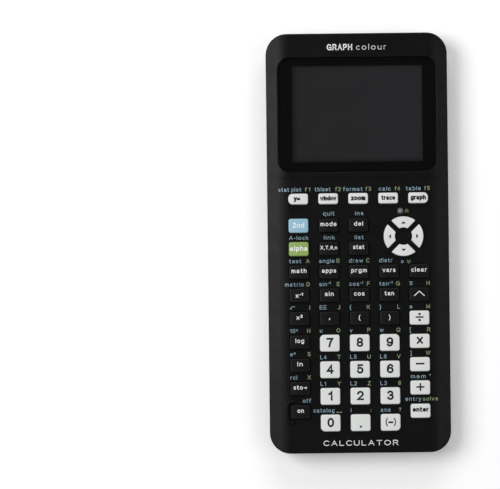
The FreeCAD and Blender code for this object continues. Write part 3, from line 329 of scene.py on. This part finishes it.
mat_rubber = rubber("mat_rubber", linear(176, 176, 170))
board_green = laminate("board_green")
chip_black = moulded("chip_black", linear(28, 28, 30), 0.5, mottle=0.05)
socket_black = moulded("socket_black", linear(14, 14, 15), 0.45)
lamp_clear = moulded("lamp_clear", linear(206, 210, 200), 0.2, mottle=0.03)
battery_wrap = moulded("battery_wrap", linear(48, 66, 104), 0.3, mottle=0.05)

# ---------------------------------------------------------------- pieces from CAD nodes


def dress(node, material):
    """Puts a material in a CAD node's slots."""
    for slot in nodes[node].material_slots:
        slot.material = material


def islands(bm):
    """The separate solids of a welded mesh, as lists of faces in the same order each run."""
    seen, found = set(), []
    for first in bm.faces:
        if first in seen:
            continue
        seen.add(first)
        group = [first]
        for face in group:
            near = [f for side in face.edges for f in side.link_faces]
            fresh = [f for f in dict.fromkeys(near) if f not in seen]
            seen.update(fresh)
            group.extend(fresh)
        found.append(group)
    return found


def split_node(node, body, choose):
    """Stands pieces of different materials in for a CAD node made of several solids.

    choose takes a solid's lowest and highest corner, and gives (piece, material, slot)."""
    whole = bmesh.new()
    whole.from_mesh(nodes[node].data)
    bmesh.ops.remove_doubles(whole, verts=whole.verts, dist=0.001 * MM)
    groups = {}
    for faces in islands(whole):
        corners = [v.co for face in faces for v in face.verts]
        low = Vector(map(min, zip(*corners)))
        high = Vector(map(max, zip(*corners)))
        groups.setdefault(choose(low, high), []).extend(faces)
    for (name, material, slot), faces in groups.items():
        part = bmesh.new()
        copies = {}
        for face in faces:
            for v in face.verts:
                if v not in copies:
                    copies[v] = part.verts.new(v.co)
            part.faces.new([copies[v] for v in face.verts])
        piece = finish_mesh(name, part, material, body)
        smooth_by_angle(piece)
        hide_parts(node)
    whole.free()


def finish_mesh(name, bm, material, body):
    """Makes a piece from a bmesh and rides it on a body."""
    mesh = bpy.data.meshes.new(name)
    bm.to_mesh(mesh)
    bm.free()
    mesh.materials.append(material)
    piece = bpy.data.objects.new(name, mesh)
    bpy.context.scene.collection.objects.link(piece)
    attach(piece, body)
    return piece


def smooth_by_angle(piece, limit=30):
    piece.data.shade_smooth()
    piece.data.set_sharp_from_angle(angle=math.radians(limit))


# ---------------------------------------------------------------- lettering

# Each glyph is drawn with a pen, in hundredths of the capital height. A stroke is a row of points
# "x,y" and arcs "@x,y,rx,ry,from,to" (centre, radii and angles), and strokes are parted by "|".
GLYPHS = {
    "0": "@32,50,25,43,0,360",
    "1": "10,71 23,75 35,93 35,7",
    "2": "@32,67,25,26,165,-35 7,7 58,7",
    "3": "@31,71,22,22,155,-90 @32,30,25,23,90,-155",
    "4": "46,7 46,93 7,30 60,30",
    "5": "54,93 15,93 10,47 @32,35,25,28,148,-155",
    "6": "@34,50,27,43,40,180 7,33 | @32,33,25,26,0,360",
    "7": "7,93 58,93 38,54 27,7",
    "8": "@32,71,22,22,0,360 | @32,29,25,22,0,360",
    "9": "@30,50,27,43,-140,0 57,67 | @32,67,25,26,0,360",
    "A": "7,7 43,93 79,7 | 19,36 67,36",
    "B": "7,7 7,93 42,93 @42,72,22,21,90,-90 7,51 | 42,51 @44,29,24,22,90,-90 7,7",
    "C": "@45,50,38,43,42,318",
    "D": "7,7 7,93 32,93 @32,50,40,43,90,-90 7,7",
    "E": "62,93 7,93 7,7 64,7 | 7,51 58,51",
    "F": "60,93 7,93 7,7 | 7,50 54,50",
    "G": "@46,50,39,43,42,330 | 83,7 83,46 50,46",
    "H": "7,7 7,93 | 71,7 71,93 | 7,51 71,51",
    "I": "7,7 7,93",
    "J": "45,93 45,28 @26,28,19,21,0,-165",
    "K": "7,7 7,93 | 66,93 7,36 | 29,58 70,7",
    "L": "7,93 7,7 58,7",
    "M": "7,7 7,93 44,14 81,93 81,7",
    "N": "7,7 7,93 71,7 71,93",
    "O": "@46,50,39,43,0,360",
    "P": "7,7 7,93 42,93 @42,69,24,24,90,-90 7,45",
    "Q": "@46,50,39,43,0,360 | 52,26 80,2",
    "R": "7,7 7,93 44,93 @44,71,23,22,90,-90 7,49 | 44,49 68,7",
    "S": "@36,71,27,22,22,235 @37,30,30,23,55,-158",
    "T": "7,93 73,93 | 40,93 40,7",
    "U": "7,93 7,36 @39,36,32,29,180,360 71,93",
    "V": "7,93 43,7 79,93",
    "W": "7,93 31,7 56,93 81,7 105,93",
    "X": "7,93 73,7 | 73,93 7,7",
    "Y": "7,93 41,48 75,93 | 41,48 41,7",
    "Z": "9,93 68,93 7,7 71,7",
    "a": "@31,47,22,19,155,0 53,16 59,7 | 53,41 30,39 @28,23,21,16,90,330 53,30",
    "b": "7,93 7,7 | @33,36.5,26,29.5,0,360",
    "c": "@33,36.5,26,29.5,48,312",
    "d": "59,93 59,7 | @33,36.5,26,29.5,0,360",
    "e": "9,38 59,38 @33,36.5,26,29.5,3,322",
    "f": "18,7 18,76 @35,76,17,17,180,90 40,93 | 7,66 40,66",
    "g": "@33,36.5,26,29.5,0,360 | 59,66 59,4 @33,3,26,23,0,-150",
    "h": "7,93 7,7 | 7,42 @30.5,42,23.5,24,180,0 54,7",
    "i": "7,66 7,7 | 7,90 7,92",
    "k": "7,93 7,7 | 50,66 7,27 | 25,43 53,7",
    "l": "7,93 7,7",
    "m": "7,66 7,7 | 7,44 @25,44,18,22,180,0 43,7 | 43,44 @61,44,18,22,180,0 79,7",
    "n": "7,66 7,7 | 7,42 @30.5,42,23.5,24,180,0 54,7",
    "o": "@35,36.5,28,29.5,0,360",
    "p": "7,66 7,-20 | @33,36.5,26,29.5,0,360",
    "q": "59,66 59,-20 | @33,36.5,26,29.5,0,360",
    "r": "7,66 7,7 | 7,36 @29,40,22,26,180,80",
    "s": "@28,52,20,14,20,230 @29,22,22,15,50,-160",
    "t": "18,86 18,24 @35,24,17,17,180,270 40,7 | 7,66 38,66",
    "u": "7,66 7,31 @30.5,31,23.5,24,180,360 | 54,66 54,7",
    "v": "7,66 32,7 57,66",
    "w": "7,66 26,7 46,66 66,7 85,66",
    "x": "7,66 53,7 | 53,66 7,7",
    "y": "7,66 32,7 | 58,66 30,-4 @18,-4,12,16,0,-100",
    "z": "9,66 51,66 7,7 54,7",
    "-": "7,36 36,36",
    "−": "7,50 77,50",
    "+": "7,50 77,50 | 42,15 42,85",
    "×": "12,20 72,80 | 12,80 72,20",
    "÷": "7,50 77,50 | 38,80 46,80 | 38,88 46,88 | 38,12 46,12 | 38,20 46,20",
    "=": "7,49 60,49 | 7,25 60,25",
    "→": "7,36 72,36 | 54,54 72,36 54,18",
    ",": "12,7 7,-10",
    ".": "7,7 7,9",
    ":": "7,7 7,9 | 7,54 7,56",
    "?": "@28,72,21,21,170,-60 28,44 28,32 | 28,7 28,9",
    "\"": "7,93 7,72 | 27,93 27,72",
    "(": "@49,38,42,71,125,235",
    ")": "@-17,38,42,71,55,-55",
    "[": "28,97 7,97 7,-20 28,-20",
    "]": "7,97 28,97 28,-20 7,-20",
    "{": "32,97 20,92 18,52 7,38 18,24 20,-16 32,-20",
    "}": "7,97 19,92 21,52 32,38 21,24 19,-16 7,-20",
    "θ": "@32,50,25,43,0,360 | 9,50 55,50",
    "π": "7,84 79,84 | 25,84 25,7 | 61,84 61,7",
    "√": "7,34 18,40 32,7 50,72 122,72",
    "⎵": "7,12 7,-4 82,-4 82,12",
}


def pen_strokes(path):
    """The points of each stroke of a glyph, in capital heights."""
    strokes = []
    for part in path.split(" | "):
        points = []
        for token in part.split():
            numbers = [float(n) / 100 for n in token.lstrip("@").split(",")]
            if token[0] != "@":
                points.append(Vector(numbers))
                continue
            x, y, rx, ry, start, end = numbers
            steps = max(2, round(abs(end - start) * 100 / ARC_STEP))
            for n in range(steps + 1):
                angle = math.radians(100 * (start + (end - start) * n / steps))
                points.append(Vector((x + rx * math.cos(angle), y + ry * math.sin(angle))))
        strokes.append(points)
    return strokes


def set_text(text, height):
    """Strokes of a line of text from the origin, in metres. Parts between ^ are raised."""
    placed, at = [], 0.0
    for number, run in enumerate(text.split("^")):
        raised = number % 2
        size = height * (0.62 if raised else 1)
        lift = height * 0.45 if raised else 0
        for letter in run:
            if letter == " ":
                at += size * WORD_GAP
                continue
            strokes = pen_strokes(GLYPHS[letter])
            placed += [[Vector((at + p.x * size, lift + p.y * size)) for p in s] for s in strokes]
            widest = max(p.x for stroke in strokes for p in stroke)
            at += size * (widest + LETTER_GAP)
    return placed


def ribbon(bm, points, width):
    """A flat line of even width through the points, with mitred corners and square ends."""
    closed = (points[0] - points[-1]).length < width * 0.01
    points = points[:-1] if closed else list(points)
    last = len(points) - 1
    if not closed:
        first_way = (points[0] - points[1]).normalized() * width / 2
        last_way = (points[last] - points[last - 1]).normalized() * width / 2
        points[0] = points[0] + first_way
        points[last] = points[last] + last_way
    rims = []
    for n, point in enumerate(points):
        before = points[n - 1] if n or closed else None
        after = points[(n + 1) % len(points)] if n < last or closed else None
        ways = [(b - a).normalized() for a, b in ((before, point), (point, after)) if a and b]
        sides = [Vector((-way.y, way.x)) for way in ways]
        mitre = sum(sides, Vector((0, 0))).normalized()
        reach = width / 2 / max(mitre.dot(sides[0]), 0.45)
        rims.append([bm.verts.new((*(point + mitre * reach * sign), 0)) for sign in (1, -1)])
    for n in range(len(rims) if closed else last):
        (a, b), (c, d) = rims[n], rims[(n + 1) % len(rims)]
        bm.faces.new((a, b, d, c))


def write(bm, text, x, y, height, weight, anchor="centre", stretch=1.0, width=0):
    """Adds a line of text whose baseline is at y, with its left, centre or right at x."""
    strokes = set_text(text, height)
    across = [p.x for stroke in strokes for p in stroke]
    left, right = min(across), max(across)
    if width:
        stretch = (width - weight) / (right - left)
    shift = {
        "left": x + weight / 2 - left * stretch,
        "centre": x - (left + right) / 2 * stretch,
        "right": x - weight / 2 - right * stretch,
    }[anchor]
    for stroke in strokes:
        ribbon(bm, [Vector((shift + p.x * stretch, y + p.y)) for p in stroke], weight)


def print_on(name, bm, target, material, body):
    """Lays flat lettering on the top of a CAD node, cut into strips that follow its curve."""
    bmesh.ops.triangulate(bm, faces=bm.faces)
    across = [v.co.x for v in bm.verts]
    left, right = min(across), max(across)
    for step in range(1, int((right - left) / STRIP) + 1):
        everything = [*bm.verts, *bm.edges, *bm.faces]
        middle = (left + step * STRIP, 0, 0)
        bmesh.ops.bisect_plane(bm, geom=everything, plane_co=middle, plane_no=(1, 0, 0))
    surface = BVHTree.FromObject(nodes[target], bpy.context.evaluated_depsgraph_get())
    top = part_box(target)[1].z
    for v in bm.verts:
        hit = surface.ray_cast(Vector((v.co.x, v.co.y, top + MM)), Vector((0, 0, -1)))[0]
        v.co.z = (hit.z if hit else top) + INK_LIFT
    down = [face for face in bm.faces if face.normal.z < 0]
    bmesh.ops.reverse_faces(bm, faces=down)
    return finish_mesh(name, bm, material, body)


# ---------------------------------------------------------------- what is printed

# key: (second-function legend, letter legend, key label)
PRINT = {
    "y_equals": ("stat plot", "f1", "y="),
    "window": ("tblset", "f2", "window"),
    "zoom": ("format", "f3", "zoom"),
    "trace": ("calc", "f4", "trace"),
    "graph": ("table", "f5", "graph"),
    "second": ("", "", "2nd"),
    "mode": ("quit", "", "mode"),
    "delete": ("ins", "", "del"),
    "alpha": ("A-lock", "", "alpha"),
    "variable": ("link", "", "X,T,θ,n"),
    "stat": ("list", "", "stat"),
    "math": ("test", "A", "math"),
    "apps": ("angle", "B", "apps"),
    "program": ("draw", "C", "prgm"),
    "vars": ("distr", "", "vars"),
    "clear": ("", "", "clear"),
    "inverse": ("matrix", "D", "x^-1^"),
    "sin": ("sin^-1^", "E", "sin"),
    "cos": ("cos^-1^", "F", "cos"),
    "tan": ("tan^-1^", "G", "tan"),
    "power": ("π", "H", ""),
    "square": ("√", "I", "x^2^"),
    "comma": ("EE", "J", ","),
    "open_bracket": ("{", "K", "("),
    "close_bracket": ("}", "L", ")"),
    "divide": ("e", "M", "÷"),
    "log": ("10^x^", "N", "log"),
    "7": ("u", "O", "7"),
    "8": ("v", "P", "8"),
    "9": ("w", "Q", "9"),
    "multiply": ("[", "R", "×"),
    "ln": ("e^x^", "S", "ln"),
    "4": ("L4", "T", "4"),
    "5": ("L5", "U", "5"),
    "6": ("L6", "V", "6"),
    "minus": ("]", "W", "−"),
    "store": ("rcl", "X", "sto→"),
    "1": ("L1", "Y", "1"),
    "2": ("L2", "Z", "2"),
    "3": ("L3", "θ", "3"),
    "plus": ("mem", "\"", "+"),
    "on": ("off", "", "on"),
    "0": ("catalog", "⎵", "0"),
    "point": ("i", ":", "."),
    "negative": ("ans", "?", "(  )"),
    "enter": ("entry", "solve", "enter"),
}
ARROWS = {"up": 0, "left": 90, "down": 180, "right": 270}
FUNCTION_ROW = {"y_equals", "window", "zoom", "trace", "graph"}
WHITE_KEYS = {
    *FUNCTION_ROW, *ARROWS, *"0123456789", "point", "negative", "divide", "multiply", "minus",
    "plus", "enter",
}
COLOURED_KEYS = {"second": ("key_blue", key_blue), "alpha": ("key_green", key_green)}

# legends that don't start and end where the others do: (left end, right end) from the key's centre
SECOND_SPANS = {
    "y_equals": (-8.9, 1.4), "window": (-6.0, 1.1), "zoom": (-6.8, 2.1), "trace": (-4.2, 1.2),
    "graph": (-5.5, 1.3), "mode": (-2.4, 2.8), "delete": (-1.4, 2.3), "alpha": (-4.3, 4.4),
    "variable": (-2.1, 2.8), "stat": (-1.7, 2.3), "inverse": (-6.4, 2.1), "plus": (-4.2, 2.5),
    "on": (1.1, 4.8), "0": (-7.7, 1.8), "enter": (-6.8, 0.4),
}
ALPHA_SPANS = {
    "y_equals": (3.1, 5.5), "window": (3.3, 5.8), "zoom": (3.4, 5.9), "trace": (3.1, 5.5),
    "graph": (2.9, 5.4), "0": (2.8, 5.1), "enter": (1.2, 8.1),
}
HIGH_LEGENDS = {"mode", "delete", "enter"}      # these sit a little further above their keys
# widths of the words and signs on the keys, and the pen they are drawn with
LABEL_WIDTHS = {
    "y=": 2.9, "window": 7.4, "zoom": 6.65, "trace": 6.3, "graph": 7.0, "2nd": 5.3, "mode": 7.25,
    "del": 4.1, "alpha": 8.0, "X,T,θ,n": 7.6, "stat": 5.05, "math": 6.85, "apps": 6.45, "prgm": 7.05,
    "vars": 5.85, "clear": 7.05, "x^-1^": 3.3, "sin": 3.95, "cos": 4.75, "tan": 4.25, "x^2^": 2.8,
    "÷": 3.6, "log": 3.9, "×": 2.8, "ln": 2.4, "−": 3.9, "sto→": 6.1, "+": 3.7, "on": 2.9,
    "(  )": 4.7, "enter": 7.3,
}
# base line below the key's middle, height and pen, for the keys whose lettering has its own size
LABEL_SHAPES = {
    "inverse": (0.85, 2.0, 0.3), "variable": (0.25, 1.65, 0.26), "enter": (0.25, 2.0, 0.56),
    "comma": (0.1, 2.4, 0.4), "open_bracket": (0.5, 2.0, 0.3), "close_bracket": (0.5, 2.0, 0.3),
    "point": (2.0, 3.5, 0.88), "negative": (0.9, 2.8, 0.47), "divide": (1.7, 4.0, 0.68),
    "multiply": (1.7, 4.0, 0.78), "minus": (1.7, 4.0, 0.76), "plus": (1.7, 4.0, 0.72),
}


def key_place(name):
    """A straight key's centre, and the half length of its cap."""
    low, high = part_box(f"key_{name}")
    centre = (low + high) / 2
    return centre.x, centre.y, (high.y - low.y) / 2 - KEY_LIP


def legend(bm, text, x, y, span, anchor, edge):
    if span:
        left, right = (x + end * MM for end in span)
        write(bm, text, (left + right) / 2, y, LEGEND_HEIGHT, LEGEND_WEIGHT, width=right - left)
    else:
        write(bm, text, x + edge, y, LEGEND_HEIGHT, LEGEND_WEIGHT, anchor)


def label_shape(name, text):
    """Base line below the key's middle, height and pen of one key's lettering, in mm."""
    if name in LABEL_SHAPES:
        return LABEL_SHAPES[name]
    if name in COLOURED_KEYS:
        return 0.75, 2.2, 0.4
    if name in FUNCTION_ROW:
        return 0.68, 1.95, min(0.62, 0.42 * LABEL_WIDTHS[text] / len(text))
    if text.isdigit():
        return 1.7, 4.0, 0.86
    return 0.25, 2.0, 0.3


def label(bm, name, text, x, y):
    """The lettering on top of one key."""
    if name == "power":
        wing, peak = Vector((2.2 * MM, 2.0 * MM)), Vector((x, y + 1.5 * MM))
        ribbon(bm, [peak - wing, peak, peak + Vector((wing.x, -wing.y))], 0.36 * MM)
        return
    below, height, pen = (size * MM for size in label_shape(name, text))
    aside = -0.6 * MM if name == "y_equals" else 0
    width = LABEL_WIDTHS.get(text, 0) * MM
    write(bm, text, x + aside, y - below, height, pen, stretch=1.1, width=width)
    if name == "negative":
        write(bm, "-", x, y - below, height, 0.82 * MM, width=2.2 * MM)


def print_legends():
    second, alpha = bmesh.new(), bmesh.new()
    for name, (left_text, right_text, _) in PRINT.items():
        x, y, half = key_place(name)
        base = y + half + (HIGH_GAP if name in HIGH_LEGENDS else LEGEND_GAP)
        if left_text:
            legend(second, left_text, x, base, SECOND_SPANS.get(name), "left", SECOND_LEFT)
        if right_text:
            legend(alpha, right_text, x, base, ALPHA_SPANS.get(name), "right", ALPHA_RIGHT)
    pad_marks(second, alpha)
    print_on("second_legends", second, "front_cover", ink_second, "case")
    print_on("letter_legends", alpha, "front_cover", ink_alpha, "case")


def circle(x, y, radius, sides=16):
    """A closed ring of points, whose last is its first again."""
    turns = [math.tau * n / sides for n in range(sides + 1)]
    return [Vector((x + radius * math.cos(a), y + radius * math.sin(a))) for a in turns]


def pad_marks(second, alpha):
    """A sun above the arrow pad and a dimmer lamp below it, each with a double chevron beside it."""
    low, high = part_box("key_up")
    x = (low.x + high.x) / 2
    from_pad, lamp_left, rays = 2.6 * MM, 1.35 * MM, 8
    above = Vector((x, high.y - KEY_LIP + from_pad))
    below = Vector((x + 0.7 * MM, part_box("key_down")[0].y + KEY_LIP - from_pad))
    sun = bmesh.new()
    centre = above - Vector((lamp_left, 0))
    ribbon(sun, circle(*centre, 0.45 * MM), 0.14 * MM)
    for n in range(rays):
        ray = Vector((math.cos(math.tau * n / rays), math.sin(math.tau * n / rays)))
        ribbon(sun, [centre + ray * 0.85 * MM, centre + ray * 1.25 * MM], 0.12 * MM)
    print_on("sun_mark", sun, "front_cover", ink_white, "case")
    ribbon(second, circle(below.x - lamp_left, below.y, 0.5 * MM), 0.2 * MM)
    for middle, way in ((above, 1), (below, -1)):
        for step in (0, 0.8):
            tip = middle + Vector((1.6, way * (0.7 - step))) * MM
            wings = [tip + Vector((side * 0.75, -way * 0.65)) * MM for side in (-1, 1)]
            ribbon(alpha, [wings[0], tip, wings[1]], 0.16 * MM)


def print_keys():
    for name, (_, _, text) in PRINT.items():
        x, y, _ = key_place(name)
        bm = bmesh.new()
        label(bm, name, text, x, y)
        ink_used = ink_black if name in WHITE_KEYS else ink_white
        print_on(f"label_{name}", bm, f"key_{name}", ink_used, f"button_{name}")
    for name, turn in ARROWS.items():
        low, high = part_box(f"key_{name}")
        middle = ((low + high) / 2).to_2d()
        turned = Matrix.Rotation(math.radians(turn), 2)
        points = [(0, 0.6), (-1.1, -0.45), (1.1, -0.45)]
        bm = bmesh.new()
        spots = [middle + turned @ Vector(p) * MM for p in points]
        bm.faces.new([bm.verts.new((*spot, 0)) for spot in spots])
        print_on(f"label_{name}", bm, f"key_{name}", ink_black, f"button_{name}")


def print_names():
    """Generic wording where a maker would print its own."""
    low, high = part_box("front_cover")
    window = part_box("display_window")[1].y
    base = (window + high.y) / 2 - 2.1 * MM
    bold, light = 0.46 * MM, 0.22 * MM
    bm = bmesh.new()
    write(bm, "GRAPH", -NAME_SPAN / 2, base, NAME_HEIGHT, bold, "left", width=11.6 * MM)
    write(bm, "colour", NAME_SPAN / 2, base, NAME_HEIGHT, light, "right", width=13.6 * MM)
    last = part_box("key_0")[0].y + KEY_LIP
    base = (last + low.y) / 2 - 1.6 * MM
    write(bm, "CALCULATOR", 0, base, NAME_HEIGHT * 0.9, 0.3 * MM, width=34 * MM)
    print_on("face_wording", bm, "front_cover", ink_white, "case")


def key_coat(name):
    if name in COLOURED_KEYS:
        return COLOURED_KEYS[name][1]
    return key_white if name in WHITE_KEYS else key_black


# ---------------------------------------------------------------- window


def rounded_loop(bm, x, y, width, length, radius, z, turns=8):
    """A ring of vertices round a rectangle with rounded corners, anticlockwise."""
    loop = []
    for quarter, (sx, sy) in enumerate(((1, 1), (-1, 1), (-1, -1), (1, -1))):
        cx = x + sx * (width / 2 - radius)
        cy = y + sy * (length / 2 - radius)
        for n in range(turns + 1):
            a = math.radians(90 * (quarter + n / turns))
            loop.append(bm.verts.new((cx + radius * math.cos(a), cy + radius * math.sin(a), z)))
    return loop


def build_window_border():
    """The black printed frame under the window, as a thin band with thickness."""
    low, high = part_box("display_window")
    middle = (low + high) / 2
    inset, corner, opening_corner = 0.3 * MM, 5.2 * MM, 0.4 * MM
    underside, top = low.z + 0.03 * MM, low.z + 0.09 * MM
    width, length = (high - low).xy - Vector((inset, inset))
    opening_low, opening_high = window_opening()
    opening, across = (opening_low + opening_high) / 2, opening_high - opening_low
    bm = bmesh.new()
    rims = []
    for z in (underside, top):
        outer = rounded_loop(bm, middle.x, middle.y, width, length, corner, z)
        inner = rounded_loop(bm, *opening, *across, opening_corner, z)
        rims.append((outer, inner))
    (outer_low, inner_low), (outer_high, inner_high) = rims
    count = len(outer_low)
    for n in range(count):
        m = (n + 1) % count
        bm.faces.new((outer_high[n], outer_high[m], inner_high[m], inner_high[n]))
        bm.faces.new((outer_low[m], outer_low[n], inner_low[n], inner_low[m]))
        bm.faces.new((outer_low[n], outer_low[m], outer_high[m], outer_high[n]))
        bm.faces.new((inner_low[m], inner_low[n], inner_high[n], inner_high[m]))
    bmesh.ops.recalc_face_normals(bm, faces=bm.faces)
    finish_mesh("window_border", bm, border_print, "case")


# ---------------------------------------------------------------- split nodes


def choose_board(low, high):
    """Tells the circuit board's parts apart by where they are and how big."""
    board_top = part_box("display_module")[0].z
    size = high - low
    if size.x > 40 * MM:
        return "circuit_board", board_green, "board_laminate"
    if high.z > board_top + 0.5 * MM:
        if low.x > 5 * MM:
            if size.z < 2 * MM:
                return "usb_tongue", socket_black, "board_laminate"
            return "usb_shell", plated, "board_laminate"
        if high.x < -5 * MM:
            return "link_socket", socket_black, "board_laminate"
        return "charge_lamp", lamp_clear, "board_laminate"
    if abs((low.x + high.x) / 2 - 16 * MM) < 2 * MM and size.x > 15 * MM:
        return "shield_can", plated, "board_laminate"
    return "chips", chip_black, "board_laminate"


def choose_panel(low, high):
    thickness = (high - low).z
    if thickness > 1 * MM:
        return "panel_backlight", panel_frame, "panel_glass"
    if thickness < 0.3 * MM:
        return "panel_ribbon", socket_black, "panel_glass"
    return "panel_face", panel_dark, "panel_glass"


def choose_door(low, high):
    if (high - low).x < 6 * MM:
        return "door_screw", screw_black, "screw_steel"
    return "battery_door", back_black, "back_plastic"


def choose_battery(low, high):
    if (high - low).x < 6 * MM:
        return "battery_lead", socket_black, "battery_wrap"
    return "battery_cell", battery_wrap, "battery_wrap"


# ---------------------------------------------------------------- studio


def build_floor():
    bm = bmesh.new()
    bmesh.ops.create_grid(bm, x_segments=8, y_segments=8, size=2.0)
    mesh = bpy.data.meshes.new("floor")
    bm.to_mesh(mesh)
    bm.free()
    mesh.materials.append(studio_floor("studio_floor"))
    floor = bpy.data.objects.new("floor", mesh)
    bpy.context.scene.collection.objects.link(floor)


def soft_light(name, place, aim, size, watts, tint=(1, 1, 1)):
    data = bpy.data.lights.new(name, "AREA")
    data.shape = "RECTANGLE"
    data.size, data.size_y = size
    data.energy = watts
    data.color = tint
    lamp = bpy.data.objects.new(name, data)
    lamp.location = place
    lamp.rotation_mode = "QUATERNION"
    lamp.rotation_quaternion = (Vector(aim) - Vector(place)).to_track_quat("-Z", "Y")
    bpy.context.scene.collection.objects.link(lamp)


def build_lights():
    soft_light("key_light", (-0.95, 0.31, 1.17), (0, 0, 0), (0.9, 0.9), 15.5)
    soft_light("fill_light", (0.95, -0.1, 1.1), (0, 0, 0), (0.9, 0.6), 2.6)
    soft_light("top_light", (0.1, 1.3, 0.85), (0, 0, 0), (1.2, 0.5), 8)
    world = bpy.data.worlds.new("studio")
    world.use_nodes = True
    background = world.node_tree.nodes["Background"]
    background.inputs["Color"].default_value = (1, 1, 1, 1)
    background.inputs["Strength"].default_value = 0.25
    bpy.context.scene.world = world


def build_camera():
    """Straight above the object, long lens, framed off centre and turned a little."""
    frame_width, lens, sensor = 227.4 * MM, 190.0, 36.0
    turn = math.radians(0.66)
    low, high = box_at_load
    middle = (low + high) / 2
    offset = Matrix.Rotation(-turn, 2) @ Vector((-49.45 * MM, -0.65 * MM))
    data = bpy.data.cameras.new("camera")
    data.sensor_width = sensor
    data.lens = lens
    data.clip_start = 0.1
    camera = bpy.data.objects.new("camera", data)
    distance = frame_width * lens / sensor
    camera.location = (middle.x + offset.x, middle.y + offset.y, high.z + distance)
    camera.rotation_euler = (0, 0, -turn)
    bpy.context.scene.collection.objects.link(camera)
    bpy.context.scene.camera = camera


# ---------------------------------------------------------------- put together

dress("front_cover", face_black)
dress("rear_cover", back_black)
dress("display_window", window_clear)
dress("key_mat", mat_rubber)
dress("case_screws", screw_black)
dress("rubber_feet", foot_rubber)
for key_name in [*PRINT, *ARROWS]:
    dress(f"key_{key_name}", key_coat(key_name))

split_node("main_board", "case", choose_board)
split_node("display_module", "case", choose_panel)
split_node("battery_pack", "case", choose_battery)
split_node("battery_cover", "battery_door", choose_door)
build_window_border()
print_legends()
print_keys()
print_names()

build_floor()
build_lights()
build_camera()
bpy.context.scene.view_settings.view_transform = "Standard"
